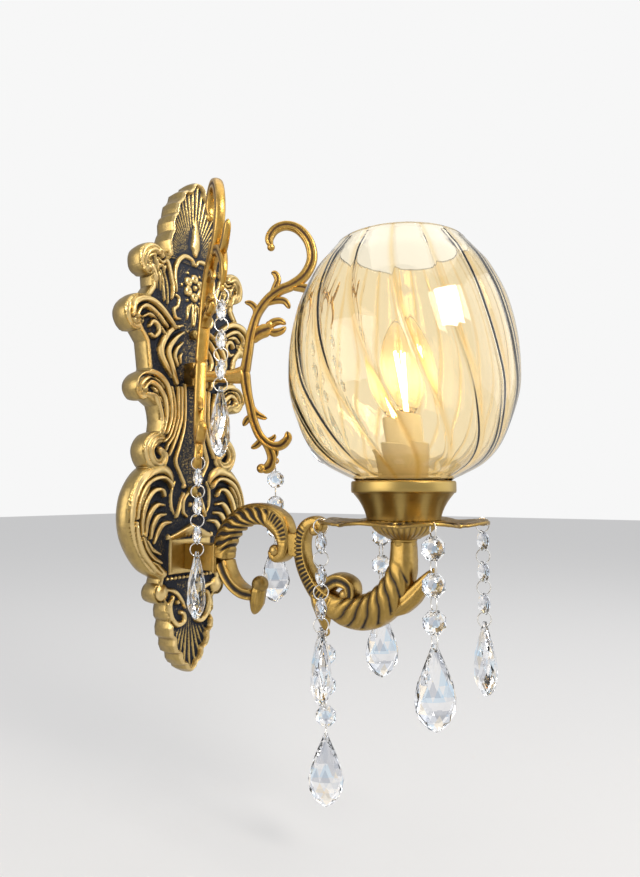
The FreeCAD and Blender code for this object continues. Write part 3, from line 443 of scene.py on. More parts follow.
# raised leaf ridges inside the scrolls, read off the photograph and partly moved:
# line, half widths, height off the wall
RIDGES = [
    ([(9, 104), (8.5, 92), (8.3, 80), (9.5, 68), (13.8, 54), (17.2, 43), (12.3, 33), (8, 26)],
     [1.1, 1.2, 1.2, 1.3, 1.5, 1.5, 1.4, 1.2], 16.0),
    ([(12.8, 101), (12.6, 88), (12.8, 76), (17.3, 62), (21.2, 54), (24.5, 47)],
     [1.4, 1.6, 1.6, 1.7, 1.6, 1.0], 16.6),
    ([(17.0, 101), (16.6, 88), (16.8, 76), (21.4, 62), (26.5, 55), (28, 51)],
     [1.5, 1.6, 1.5, 1.5, 1.3, 0.9], 17.0),
    ([(24, 100), (21, 88), (20.8, 76), (25, 63), (30, 57.5)], [1.2, 1.5, 1.4, 1.3, 1.0], 17.4),
    ([(60, 95.5), (57, 104.3), (49.8, 108.6), (38.9, 108.2), (29.5, 101.5), (25.2, 89),
      (24.8, 76), (28.6, 64)],
     [1.6, 2.0, 2.3, 2.3, 2.0, 1.7, 1.5, 1.2], 18.6),
    ([(51.5, 95.1), (45.2, 101.0), (37, 98), (30.5, 89), (28.8, 77), (32, 64)],
     [1.2, 2.0, 2.1, 1.9, 1.6, 1.2], 18.0),
    ([(46, 92.5), (40, 91.5), (35.5, 84), (33, 74), (35.4, 63)], [1.0, 1.7, 1.7, 1.5, 1.0], 17.6),
    ([(13.8, 150.9), (24.9, 145.3), (33.0, 135), (35, 125), (29.2, 115.5), (22, 108)],
     [1.0, 2.0, 2.6, 2.4, 2.0, 1.4], 18.0),
    ([(12.3, 146), (21.2, 138.5), (27.6, 128), (23.6, 116.3), (18.4, 104)], [0.9, 2.0, 2.5, 2.3, 1.6], 17.6),
    ([(12.5, 137.5), (18.3, 131.6), (20.6, 125), (17.4, 118)], [0.9, 1.6, 1.9, 1.2], 16.6),
    ([(12.2, 129), (14.6, 125.6), (13.6, 121)], [0.7, 1.3, 0.9], 15.4),
    ([(63, 149), (62, 157), (54.7, 162.8), (44.8, 163.6), (35.7, 159.5), (28.2, 153.5), (21.4, 147)],
     [1.8, 2.2, 2.5, 2.5, 2.2, 1.9, 1.0], 18.8),
    ([(59, 150), (55, 156), (49, 158.3), (38.9, 153.7), (29.6, 146.4)], [1.2, 1.8, 2.2, 2.0, 1.0], 18.0),
    ([(53.1, 149.7), (46.7, 152.7), (38.8, 148.4), (31.8, 141)], [1.0, 1.7, 1.8, 0.9], 17.2),
    ([(46.4, 144.2), (43.1, 148.0), (38.5, 146.1), (37.3, 141.1), (41.7, 136.5), (45.5, 138)],
     [1.4, 1.8, 1.8, 1.8, 1.6, 1.2], 17.0),
    ([(47.7, 193.3), (44.6, 187.6), (41, 179.8)], [0.9, 2.2, 0.7], 18.4),
    ([(41, 198), (36, 196), (30.5, 199), (26.4, 190), (23.8, 180), (24.5, 171)],
     [1.4, 1.6, 2.0, 1.8, 1.5, 1.0], 16.6),
    ([(37, 190), (33.4, 180), (31.4, 168)], [1.2, 1.6, 1.0], 14.8),
    ([(32, 190), (28.9, 180), (27.6, 166)], [0.9, 1.3, 0.8], 14.4),
    ([(19.8, 177.4), (21.5, 191.4), (18.9, 201.3), (12, 208.4), (4.2, 208.2), (1.4, 204.6)],
     [0.9, 1.6, 1.9, 2.0, 1.8, 1.4], 16.0),
    ([(20.2, 174.8), (16.3, 172.8), (17.6, 166.2), (21.3, 162.4), (19.3, 156.5), (14.5, 156.4)],
     [1.1, 1.5, 1.5, 1.6, 1.4, 0.9], 15.0),
    ([(1.9, 172), (5.9, 167), (7.1, 158.3)], [1.0, 2.2, 0.7], 14.6),
    ([(1.2, 171), (1.6, 163), (0.9, 154)], [0.8, 1.5, 0.6], 14.8),
    ([(56, -3.5), (54.2, 10.8), (48.3, 22.9), (39.3, 28.6), (30.6, 29.6), (24.4, 26.2), (21.3, 21.1)],
     [1.5, 1.6, 1.7, 1.8, 1.8, 1.6, 1.2], 19.0),
    ([(56, -3.5), (54.0, -14.5), (48.2, -26.6), (39, -36.6), (31.6, -42.9)], [1.5, 1.6, 1.6, 1.5, 1.2], 19.0),
    ([(50.8, -12.4), (49.3, 2), (44.9, 13.6), (38.5, 20.0), (31.2, 20.4), (28.6, 15.8)],
     [1.2, 2.1, 2.3, 2.2, 1.8, 1.1], 17.8),
    ([(45.9, -13.6), (44.8, -3.9), (41.2, 4.0), (35.2, 9.2), (28.4, 8.8)], [1.1, 1.9, 2.2, 1.9, 0.9], 17.0),
    ([(41.1, -15.5), (38.6, -6.2), (33.8, 0.4), (26.4, 2.0)], [1.1, 2.0, 2.1, 0.9], 16.4),
    ([(37.2, -19.2), (33.0, -10.9), (28.2, -5.6), (20.6, -4.4)], [1.1, 2.0, 2.0, 0.9], 15.8),
    ([(49, -14.5), (44.6, -23), (38, -30), (30, -34.5)], [1.0, 1.9, 2.0, 1.0], 17.0),
    ([(43.6, -17.5), (38.6, -24), (31, -28)], [0.9, 1.7, 1.0], 16.2),
    ([(8.7, 17.5), (12.2, 8.1), (15.6, -0.5)], [1.2, 1.9, 1.2], 16.2),
    ([(3.0, 18.4), (8.2, 12.4), (8.4, 3.4), (4.4, -0.6)], [1.0, 1.4, 1.4, 1.0], 16.0),
    ([(17, 27), (20.5, 19), (20.5, 9), (17.5, 2)], [0.8, 1.5, 1.6, 0.8], 14.6),
    ([(18.2, -61), (21.1, -68.1), (18.8, -77.4), (12.6, -82.9), (6.4, -80.8), (6.8, -75.5), (10, -73.9)],
     [1.2, 1.9, 2.1, 2.3, 2.1, 1.9, 1.6], 17.4),
    ([(24, -55), (15, -58), (9, -64), (5, -71)], [1.2, 1.8, 1.6, 1.0], 16.0),
]
KNOBS = [(0, 185, 3.0, 16.6), (29, -57, 7.6, 17.0), (34, 50.5, 2.6, 18.5), (48.6, 188.4, 3.6, 18.0),
         (58, 149, 2.6, 18.0), (49, 95, 2.4, 17.5), (13, -66, 2.2, 17.0), (0, 168, 2.2, 14.5),
         (7.4, 23.5, 2.7, 15.6), (0, 9, 2.4, 15.0)]
FIELD_UP = 12.0           # height of the sunken field off the wall
HOLLOW_UP = 9.0           # depth of the hollow behind
HOLLOW = [(0, 232), (14, 226), (22, 205), (30, 190), (32, 165), (38, 150), (38, 135), (34, 110),
          (26, 90), (24, 60), (32, 36), (42, 20), (46, 5), (43, -15), (32, -34), (20, -50), (14, -75),
          (0, -92)]
BOSS = (22.0, -44.5, -17.5, 15.0)   # half width, low, high, height off the wall


def to_line(u, v, points, count):
    """Signed distance from a smooth line, and the share of the way along it."""
    places, tangents, length = curve(points, count)
    gap = (u[:, None] - places[:, 0]) ** 2 + (v[:, None] - places[:, 1]) ** 2
    k = gap.argmin(1)
    du, dv = u - places[k, 0], v - places[k, 1]
    along = du * tangents[k, 0] + dv * tangents[k, 1]
    across = du * -tangents[k, 1] + dv * tangents[k, 0]
    past = ((k == 0) & (along < 0)) | ((k == count - 1) & (along > 0))
    away = np.where(past, np.sign(across + 1e-9) * np.hypot(du, dv), across)
    return away, np.clip(k / (count - 1) + along / length, 0, 1), length


def inside_distance(u, v, loop):
    """Distance to a closed outline, positive inside."""
    best = np.full(u.shape, 1e9)
    inside = np.zeros(u.shape, bool)
    for (x0, y0), (x1, y1) in zip(loop, loop[1:] + loop[:1]):
        dx, dy = x1 - x0, y1 - y0
        t = np.clip(((u - x0) * dx + (v - y0) * dy) / (dx * dx + dy * dy), 0, 1)
        best = np.minimum(best, np.hypot(u - x0 - t * dx, v - y0 - t * dy))
        if y0 != y1:
            cross = (y0 > v) != (y1 > v)
            inside ^= cross & (u < dx * (v - y0) / dy + x0)
    return np.where(inside, best, -best)


def blurred(values, reach):
    """A box blur, twice, by running sums."""
    for _ in range(2):
        for axis in (0, 1):
            pad = [(0, 0), (0, 0)]
            pad[axis] = (reach + 1, reach)
            run = np.cumsum(np.pad(values, pad, mode="edge"), axis=axis)
            size = 2 * reach + 1
            high = np.take(run, range(size, run.shape[axis]), axis)
            low = np.take(run, range(0, run.shape[axis] - size), axis)
            values = (high - low) / size
    return values


# the height map of the casting, in millimetres unless a name says otherwise
STEP = 0.6                # grid
PLATE_TOP = 273.0         # upper tip of the casting
GROUND = 10.8             # floor between the leaf ridges
EDGE_UP = 15.5            # where the front meets the edge wall
SHOULDER_UP = 20.2        # top of the rounded outer shoulder
HOLLOW_SLOPE = 2.4        # width of the slope round the hollow behind
ROSETTE_UP = 185.0
RIB_WIDER, BAND_WIDER, RIDGE_WIDER = 1.32, 1.25, 1.22   # carving beside its listed half width
EDGE_GOLD, BACK_GOLD, BOSS_GOLD = 0.7, 0.42, 0.82       # relief values of plain places
# shell ends: height of the hub, the span from and to, fineness of the flutes, up or down
SHELL_ENDS = ((208, 203, 280, 60, 1), (-66, -130, -70, 44, -1))


def beside(u, v, points, reach):
    """Where the map lies near a line."""
    p = np.array(points)
    return ((u > p[:, 0].min() - reach) & (u < p[:, 0].max() + reach)
            & (v > p[:, 1].min() - reach) & (v < p[:, 1].max() + reach))


def along(share, values):
    """Listed values between their even stations on a line."""
    return np.interp(share * (len(values) - 1), range(len(values)), values)


def arch(t):
    """A round arch over the share t of a half width."""
    return np.sqrt(np.clip(1 - t * t, 0, 1))


def raised(height, t, lift):
    """The heights, raised to lift where t lies within 1."""
    return np.where(np.abs(t) < 1, np.maximum(height, lift), height)


def add_shells(height, edge, grain, u, v):
    """Shell ends: flutes from a hub, dished, inside a standing rim."""
    for hub_v, low, high, count, sign in SHELL_ENDS:
        span = (v > low) & (v < high)
        angle = np.arctan2(u, (v - hub_v) * sign)
        reach = np.hypot(u, v - hub_v)
        wave = np.cos(angle * count * 1.2)
        dish = 13.0 + 2.4 * np.clip(reach / 60, 0, 1) ** 2
        fluted = dish + 1.0 * wave * np.clip((reach - 10) / 18, 0, 1) + (grain - 0.5) * 0.25
        height = np.where(span, fluted, height)
        rim = np.clip(1 - np.abs(edge - 1.6) / 1.8, 0, 1) ** 0.6
        height = np.where(span & (edge < 3.4), np.maximum(height, 14 + 6 * rim), height)
    return height


def add_scrolls(height, footprint, u, v):
    """The big scrolls, with two grooves along the ribbed ones, into both maps."""
    for points, widths, heights, ribs in SCROLLS:
        near = beside(u, v, points, max(widths) * RIB_WIDER + 1)
        away, share, _ = to_line(u[near], v[near], points, 14 * len(points))
        half = along(share, widths) * (RIB_WIDER if ribs > 1 else BAND_WIDER)
        t = away / half
        lift = 10.5 + (along(share, heights) - 10.5) * arch(t) ** 0.8
        if ribs > 1:
            groove = np.exp(-((t - 0.32) / 0.13) ** 2) + np.exp(-((t + 0.36) / 0.13) ** 2)
            lift -= groove * np.clip(half * 0.45, 0, 2.7) * np.clip(share * 6, 0, 1)
        height[near] = raised(height[near], t, lift)
        footprint[near] = np.maximum(footprint[near], half * 0.93 - np.abs(away))


def add_ridges(height, u, v):
    """The leaf ridges, each cut free of its neighbours by a moat, into the map."""
    for points, widths, top in RIDGES:
        near = beside(u, v, points, 4)
        away, share, _ = to_line(u[near], v[near], points, 10 * len(points))
        half = along(share, widths) * RIDGE_WIDER
        t = away / half
        lift = GROUND + (top - GROUND) * np.clip(1 - t * t, 0, 1) ** 0.42
        lift -= 1.3 * np.exp(-(t / 0.2) ** 2) * np.clip(half - 1.7, 0, 0.5) * 2
        moat = GROUND + 0.9 * (np.abs(t) - 1)
        held = height[near]
        held = np.where(np.abs(t) < 1, np.maximum(np.minimum(held, lift + 0.6), lift), held)
        beyond = (np.abs(t) >= 1) & (np.abs(t) < 1.35)
        height[near] = np.where(beyond, np.minimum(held, moat + 1.8), held)


def add_ornaments(height, footprint, u, v):
    """Teardrop, rosette, knobs and rows of beads."""
    away, share, _ = to_line(u, v, [(0, 214), (0, 226), (0, 250)], 60)
    t = away / np.interp(share, [0, 0.12, 0.4, 0.75, 1], [3.5, 5.6, 4.8, 2.2, 0.6])
    height = raised(height, t, 12.5 + np.interp(share, [0, 0.3, 1], [3.2, 4.6, 1.4]) * arch(t))
    knobs = list(KNOBS)
    for turn in turns(6):
        petal = turn + math.pi / 6
        t = np.hypot(u - 7.6 * math.cos(petal), v - (ROSETTE_UP + 7.6 * math.sin(petal))) / 4.4
        height = raised(height, t, 12.5 + 3.6 * arch(t) - 2.0 * np.exp(-(t / 0.42) ** 2))
        knobs.append((13.0 * math.cos(turn), ROSETTE_UP + 13.0 * math.sin(turn), 2.0, 13.8))
    for i in range(6):
        knobs += [(2.1 + 4.2 * i, -14.9, 1.8, 16.0), (2.1 + 4.2 * i, -47.3, 1.8, 15.5)]
    for knob_u, knob_v, r, top in knobs:
        t = np.hypot(u - knob_u, v - knob_v) / r
        height = raised(height, t, 11.0 + (top - 11.0) * arch(t))
        footprint = np.maximum(footprint, r * (1 - t))
    return height, footprint


def plate_maps():
    """Height, footprint, relief value and back of the casting's right half, on a grid."""
    u, v = np.meshgrid(np.arange(0, 72, STEP), np.arange(-124, 277, STEP))
    shape = u.shape
    u, v = u.ravel(), v.ravel()
    outline = SHELL_TOP + SIDE + SHELL_LOW
    edge = inside_distance(u, v, outline + [(-x, y) for x, y in outline[::-1] if x > 0])
    grain = np.random.default_rng(7).random(u.shape)
    height = add_shells(FIELD_UP + (grain - 0.5) * 0.9, edge, grain, u, v)
    footprint = edge.copy()
    add_scrolls(height, footprint, u, v)
    add_ridges(height, u, v)

    # rounded outer shoulder, its radius larger on the big scrolls
    radius = np.where((v > 203) | (v < -62), 1.6, 3.8)
    depth = np.clip(footprint, 0, radius)
    cap = SHOULDER_UP - radius + np.sqrt(np.clip(radius ** 2 - (radius - depth) ** 2, 0, None))
    rounded = (footprint > 0) & (footprint < radius)
    height = np.where(rounded, np.minimum(np.maximum(height, 15.0), cap), height)
    height, footprint = add_ornaments(height, footprint, u, v)

    # the arm's boss and the roof over it
    roof = (u < 25) & (v > -17.5) & (v < -5.5 - u * 0.45)
    height = np.where(roof, np.maximum(height, 18.0 - np.abs(v + 8 + u * 0.2) * 0.5), height)
    half_w, low, high, top = BOSS
    inset = np.minimum(half_w - u, np.minimum(v - low, high - v))
    block = top - 1.4 + np.sqrt(np.clip(1.4 ** 2 - (1.4 - np.clip(inset, 0, 1.4)) ** 2, 0, None))
    height = np.where(inset > 0, np.maximum(block, 0), height)

    # softened heights, then worn gold on what stands up, a painted highlight on the highest, and patina in
    # what lies low
    height = height.reshape(shape)
    height = blurred(height, 1) * 0.45 + height * 0.55
    footprint, grain = footprint.reshape(shape), grain.reshape(shape)
    sunk = height - blurred(height, 5)
    rise = np.clip((height - 12.6) / 2.6, 0, 1)
    gold = 0.17 + 0.55 * rise + sunk * 0.40
    gold += (grain - 0.42) * 0.5 * (1 - rise)
    gold = np.where(footprint < 4.0, np.maximum(gold, 0.52 + sunk * 0.42), gold)
    gold[(inset > 1.0).reshape(shape)] = BOSS_GOLD

    pocket = inside_distance(u, v, HOLLOW + [(-x, y) for x, y in HOLLOW[::-1] if x > 0])
    pocket = np.clip(pocket.reshape(shape) / HOLLOW_SLOPE, 0, 1)
    back = HOLLOW_UP * pocket * pocket * (3 - 2 * pocket)
    back = back + 0.3 * (grain - 0.5) * (pocket > 0.9)
    return u.reshape(shape), v.reshape(shape), height, footprint, np.clip(gold, 0, 1), back


def mirrored(values, flip=1):
    """The whole plate from its right half."""
    return np.concatenate([flip * values[:, :0:-1], values], 1)


def backplate():
    """The casting: front from the height map, swelling edge wall, and hollow back."""
    half_u, *maps = plate_maps()
    u = mirrored(half_u, -1)
    v, height, footprint, gold, back = map(mirrored, maps)
    # points outside are drawn onto the outline
    slope_v, slope_u = np.gradient(footprint, STEP)
    size = np.maximum(slope_u ** 2 + slope_v ** 2, 0.25)
    out = footprint < 0
    u = np.where(out, u - footprint * slope_u / size, u)
    v = np.where(out, v - footprint * slope_v / size, v)
    height = np.where(out, EDGE_UP, height)
    gold = np.where(out, EDGE_GOLD, gold)
    index = np.arange(u.size).reshape(u.shape)
    near = ~out
    cell = near[:-1, :-1] | near[1:, :-1] | near[:-1, 1:] | near[1:, 1:]
    corners = np.stack([index[:-1, :-1], index[:-1, 1:], index[1:, 1:], index[1:, :-1]], -1)[cell]
    used, compact = np.unique(corners, return_inverse=True)
    corners = compact.reshape(corners.shape)
    us, vs, heights, golds = (values.ravel()[used] for values in (u, v, height, gold))
    back_u, back_v, back_heights = us, vs, np.where(out, 0, back).ravel()[used]
    edges = np.concatenate([corners[:, [i, (i + 1) % 4]] for i in range(4)])
    _, first, count = np.unique(np.sort(edges, 1), axis=0, return_index=True, return_counts=True)
    border = edges[first[count == 1]]

    # the edge wall swells a little outwards between the front and the wall
    rim = np.unique(border)
    soft_v, soft_u = np.gradient(blurred(footprint, 2), STEP)
    out_u, out_v = -soft_u.ravel()[used][rim], -soft_v.ravel()[used][rim]
    length = np.maximum(np.hypot(out_u, out_v), 0.3)
    out_u, out_v = out_u / length, out_v / length
    rim_u, rim_v = us[rim], vs[rim]
    swell = np.interp(rim_v, [-50, -35, -5, 25, 38, 60, 200, 215], [0.8, 2.6, 3.4, 2.6, 1.2, 1.0, 1.2, 0.8])
    faces = [tuple(int(i) for i in c) for c in corners]
    above = {int(p): int(p) for p in rim}
    levels = 6
    for k in range(1, levels + 1):
        share = k / levels
        if k < levels:
            push = swell * math.sin(math.pi * min(1.0, share * 1.05)) ** 0.8
            below = {int(p): len(us) + i for i, p in enumerate(rim)}
            us = np.concatenate([us, rim_u + out_u * push])
            vs = np.concatenate([vs, rim_v + out_v * push])
            heights = np.concatenate([heights, np.full(len(rim), EDGE_UP * (1 - share))])
            # painted shade: the edge wall darkens down towards the wall
            golds = np.concatenate([golds, np.full(len(rim), 0.60 - 0.14 * share)])
        else:
            below = {int(p): len(us) + int(p) for p in rim}
        faces += [(above[int(a)], below[int(a)], below[int(b)], above[int(b)]) for a, b in border]
        above = below
    faces += [tuple(int(i) + len(us) for i in c[::-1]) for c in corners]
    us, vs = np.concatenate([us, back_u]), np.concatenate([vs, back_v])
    heights = np.concatenate([heights, back_heights])
    golds = np.concatenate([golds, np.full(len(back_u), BACK_GOLD)])
    verts = np.stack([us, -heights, np.minimum(vs, PLATE_TOP) - PAN_DROP], 1) * MM
    piece("backplate_casting", verts, faces, PLATE_BRASS, nodes=["backplate"], relief=golds)


backplate()


# ---- upper branches -----------------------------------------------------------------------
# One branch: line along the fan and up, half widths, half thicknesses, stations.
BRANCH_RODS = [
    ([(41.2, 113), (44, 130), (46.5, 146), (51.5, 163), (59.5, 175), (69.5, 183), (79.6, 187.5),
      (89, 194.5), (95, 205), (96, 215), (92.5, 226), (84.5, 235), (74.5, 238), (65.5, 234.5),
      (60.8, 226.5), (63, 219)],
     [4.2, 3.6, 3.5, 3.5, 3.2, 3.4, 3.6, 3.8, 4, 4, 4, 3.8, 3.6, 3.4, 3.4, 3],
     [4.3, 4.3, 4.2, 4.0, 3.6, 3.4, 3.4, 3.4, 3.2], 120),
    ([(79, 186.5), (92, 184.5), (103, 179), (110, 170), (111.5, 163), (109, 157.5), (106.5, 154.8)],
     [2.6, 3.2, 3.4, 3.4, 3, 2.6, 1.8], [2.8, 3.2, 1.4], 60),
    ([(103, 179), (111, 181), (118, 187), (123, 194)], [2.6, 2.6, 2.6, 1.8], [2.8, 2.4, 2], 30),
    ([(63, 178), (66, 186), (68, 192), (66, 197), (62.5, 198)], [2.2, 2.2, 2.2, 2.2, 1.8],
     [2.4, 2.2], 36),
    ([(58, 173), (67, 175), (74, 174), (78, 168)], [2.4, 2.4, 2.2, 1.6], [2.4, 2], 36),
    ([(50, 160), (50.5, 167), (46.5, 172), (41, 173.5)], [2.2, 2.2, 2, 1.4], [2.4, 1.8], 30),
    ([(46, 141), (52, 147), (58, 150), (65, 153)], [3, 4, 4.4, 2], [3.2, 3.6, 2], 30),
    ([(41.2, 117), (43.4, 101), (46, 89), (49, 76), (54.5, 63.5), (63, 56.5), (71, 56.5),
      (76.5, 62), (76, 68)], [4.2, 3.8, 3.4, 3.3, 3.3, 3.3, 3.4, 3.6, 2.8],
     [4.2, 4, 3.6, 3.2], 90),
    ([(46, 90), (50, 83), (57, 79), (60, 78.5)], [2, 2.4, 2, 1.4], [2.4, 1.8], 26),
    ([(49, 79), (44.5, 78), (40.5, 72)], [2, 2.2, 1.6], [2.2, 1.8], 20),
    ([(56, 62), (52, 57), (47, 54)], [2, 2.2, 1.6], [2.2, 1.8], 20),
    ([(60, 60), (64.5, 62), (66.5, 65.5)], [1.8, 1.8, 1.2], [2.2, 1.6], 20),
    ([(58, 60), (62, 53), (64, 45), (61, 38.5), (55, 37.5)], [2.6, 2.8, 3, 3.6, 3], [2.6, 3, 3],
     40),
    ([(66.5, 56), (67.5, 51), (67, 46.5)], [1.8, 1.6, 1.2], [2, 1.2], 16),
    ([(4, 112), (24, 112), (34, 112.5), (41.2, 114)], [4.4, 4.4, 5.4, 7.5], [4.2, 4.2, 4], 30),
]
HOOK_F, HOOK_G, HOOK_B = (67.0, 44.0), (106.0, 153.7), (123.6, -74.8)


def channelled(share, angle, length):
    """A cast band with raised edges and a sunken middle on each face."""
    face = math.exp(-(math.cos(angle) / 0.34) ** 2)
    edge = math.exp(-((abs(math.cos(angle)) - 0.62) / 0.2) ** 2)
    return 1.0 - 0.26 * face + 0.07 * edge, 0.74 - 0.62 * face + 0.12 * edge


def ring_eye(build, place, spot, outer=2.8, inner=1.4, thick=2.4):
    """A small rounded eye for a string."""
    rings = []
    middle, wire = (outer + inner) / 2, (outer - inner) / 2
    for turn in turns(24):
        ring = []
        for a in turns(10):
            r = middle + wire * math.cos(a)
            ring.append(place(spot[0] + r * math.cos(turn), spot[1] + r * math.sin(turn),
                              thick / 2 * math.sin(a)))
        rings.append(ring)
    rings.append(rings[0])
    build.rings(rings, 0.8, caps=False)


def ball(build, place, centre, radius, squash=1.0, relief=0.8, lobes=0):
    """A round or lobed knob."""
    rings = []
    for k in range(1, 16):
        lift = math.pi * k / 16
        ring = []
        for turn in turns(24):
            r = radius * math.sin(lift) * (1 + (0.10 * math.cos(lobes * turn) if lobes else 0))
            ring.append(place(centre[0] + r * math.cos(turn), centre[1] + r * math.sin(turn),
                              centre[2] - radius * squash * math.cos(lift)))
        rings.append(ring)
    build.rings(rings, relief)


def branch(side, name):
    """One upper branch with its flower bud, knobs and eyes for strings."""
    build = Build()
    place = branch_place(side)
    for line, widths, thicks, stations in BRANCH_RODS[:-1]:
        fuller = 1.12 if stations > 50 else 1.3
        swept(build, place, line, [w * fuller for w in widths], [t * 1.1 for t in thicks], stations, 36,
              channelled, (4, 6), square=0.8)
    line, widths, thicks, stations = BRANCH_RODS[-1]
    swept(build, place, line, widths, thicks, stations, 20, None, (1, 1), 0.82)
    # the flower bud at the end of the middle leaf, and small knobs at the leaf roots
    for line, widths in (([(60, 151), (64, 156), (70, 157.5), (75, 155)], [2, 3.6, 3.2, 1.6]),
                         ([(60, 150), (65, 148), (71, 149.5), (75, 153)], [2, 3.4, 3.0, 1.6])):
        swept(build, place, line, widths, [2.6, 3.2, 2.0], 30, 28, channelled, (4, 5))
    ball(build, place, (61.5, 154.5, 0), 3.4, 1.0, 0.8)
    ball(build, place, (55.5, 37.8, 0), 3.9, 0.95, 0.78)
    ball(build, place, (62.3, 219.5, 0), 3.2, 0.95, 0.8)
    ring_eye(build, place, HOOK_F)
    ring_eye(build, place, HOOK_G)
    build.piece(name + "_casting", BRANCH_BRASS, nodes=[name])


def rounded_box(build, low, high, radius, relief=0.8, steps=4):
    """A box with rounded edges between two corners in metres."""
    low, high = np.array(low), np.array(high)
    middle, half = (low + high) / 2, np.abs(high - low) / 2
    core = half - radius
    n = 2 * steps + 2
    verts, faces, index = [], [], {}

    def vertex(p):
        key = tuple(round(c, 9) for c in p)
        if key not in index:
            index[key] = len(verts)
            verts.append(p)
        return index[key]

    angles = np.concatenate([np.linspace(-math.pi / 4, 0, steps + 1), np.linspace(0, math.pi / 4, steps + 1)])
    for axis in range(3):
        for sign in (-1, 1):
            grid = []
            for i in range(n):
                row = []
                for j in range(n):
                    d = np.zeros(3)
                    d[axis] = sign
                    d[(axis + 1) % 3] = math.tan(angles[i])
                    d[(axis + 2) % 3] = math.tan(angles[j])
                    d /= np.linalg.norm(d)
                    c = np.zeros(3)
                    c[axis] = sign * core[axis]
                    c[(axis + 1) % 3] = (-1 if i <= steps else 1) * core[(axis + 1) % 3]
                    c[(axis + 2) % 3] = (-1 if j <= steps else 1) * core[(axis + 2) % 3]
                    row.append(vertex(middle + c + d * radius))
                grid.append(row)
            for i in range(n - 1):
                for j in range(n - 1):
                    faces.append((grid[i][j], grid[i + 1][j], grid[i + 1][j + 1], grid[i][j + 1]))
    build.add(verts, faces, relief)


branch(-1, "branch_left")
branch(1, "branch_right")
block = Build()
rounded_box(block, at(-8.5, -8, 102.5), at(8.5, 3, 121.5), 0.0009, 0.8)
block.piece("branch_block_casting", CAST_BRASS, nodes=["branch_block"])


# ---- arm ----------------------------------------------------------------------------------
INNER = ([(30, -31), (31.5, -21), (37, -10.5), (46, -2.5), (57, 2), (68, 2.8), (79, 0), (87, -6.5),
          (90.5, -16), (89, -25), (83.5, -28), (80, -24.5), (82.5, -21)],
         [7.5, 8, 8, 8, 8, 8, 8, 8.4, 8.8, 6.6, 4.5, 3.2, 2.2], [8, 8, 8, 8, 7.5, 7])
INNER_TAIL = ([(31, -33), (35.5, -42), (42, -49.5), (51, -54.5), (62, -56)], [6.2, 5.4, 5, 4.8, 4.4],
              [7.6, 7.2, 6.6])
INNER_LEAF = ([(66, -44), (65, -52), (63, -62), (60.5, -70)], [3.4, 5.4, 5.6, 2.4], [4.5, 6.5, 6, 3])
OUTER = ([(118.5, -8), (121, -3.5), (116, -1.5), (109, -5), (104.5, -14), (105, -26), (109.5, -37.5),
          (117, -47.5), (127, -54.5), (139, -58.8), (151, -59.2), (162, -56.2), (171, -49.5), (178, -40),
          (182.2, -29), (183, -19), (183, -12)],
         [3, 4, 5, 5.2, 5.4, 5.6, 5.8, 6.8, 8.6, 10.4, 11.4, 11.6, 11.2, 10.4, 9.2, 8, 7.6],
         [5, 7, 7, 7, 7.5, 8.8, 10.2, 10.6, 9.4, 7.8])
OUTER_LEAF = ([(116, -47), (120, -57), (122.6, -66), (123.6, -74.4)], [5, 6.4, 5.4, 2.0], [6, 7, 5, 1.8])
OUTER_CURL = ([(119, -51), (127, -43.5), (136, -39.5), (144.5, -42.5), (145, -50), (139, -51.5)],
              [5.6, 5.2, 5.0, 5.0, 4.4, 2.8], [6.5, 7.5, 6.5])
SIDE_LEAF = ([(172, -58), (185, -49), (194, -40), (199.5, -33), (203.5, -27.5)], [3, 6.4, 6.4, 4.4, 1.4],
             [5, 7.5, 5.5, 2.2])
ARM_JOINT = 95.5


def feathered(share, angle, length):
    """Slanting feather cuts beside a plain outer rim, then a track of fine rungs."""
    c, run = math.cos(angle), share * length
    rim = math.exp(-((c - 0.66) / 0.10) ** 2) * eased(abs(math.sin(angle)), 0.2, 0.5)
    if share < 0.60:
        wave = 0.5 - 0.5 * math.cos(2 * math.pi * (run / 8.0 + c * 1.15))
        zone = eased(0.58 - c, 0, 0.12) * eased(share, 0.03, 0.08) * eased(0.60 - share, 0, 0.04)
        cut = wave ** 1.6 * 0.20 * zone
    else:
        wave = 0.5 - 0.5 * math.cos(2 * math.pi * run / 2.7)
        zone = eased(0.60 - c, 0, 0.1) * eased(c + 0.15, 0, 0.15) * eased(0.80 - share, 0, 0.04)
        cut = (0.05 + 0.09 * wave) * zone
    cut += 0.07 * rim * eased(0.86 - share, 0, 0.05)
    return 1.0 - cut, 0.76 - cut * 4.6


def laddered(share, angle, length):
    """Rungs between plain rims down the band, then fat slanting gadroons round the bowl."""
    c, run = math.cos(angle), share * length
    if share < 0.50:
        wave = 0.5 - 0.5 * math.cos(2 * math.pi * run / 2.9)
        zone = eased(0.55 - c, 0, 0.1) * eased(c + 0.78, 0, 0.1) * eased(share, 0.10, 0.14)
        zone *= eased(0.50 - share, 0, 0.04)
        cut = (0.05 + 0.10 * wave) * zone
        return 1.0 - cut, 0.76 - cut * 4.6
    wave = abs(math.sin(math.pi * (run / 9.5 - c * 0.95)))
    zone = eased(share, 0.50, 0.56) * eased(0.93 - share, 0, 0.05) * eased(c + 0.97, 0, 0.1)
    cut = 0.17 * (1 - wave ** 0.7) * zone
    return 1.0 - cut, 0.76 - cut * 4.2


def ribbed_leaf(share, angle, length):
    """A drooping leaf with long grooves."""
    wave = 0.5 - 0.5 * math.cos(angle * 7)
    cut = 0.10 * wave
    return 1.0 - cut, 0.80 - cut * 3.0


def clipped(build, keep):
    """Draws points back, by max or min, onto the plane where the two cast scrolls meet."""
    limit = -(PLATE_DEPTH + ARM_JOINT) * MM
    build.verts = [(x, keep(y, limit), z) for x, y, z in build.verts]


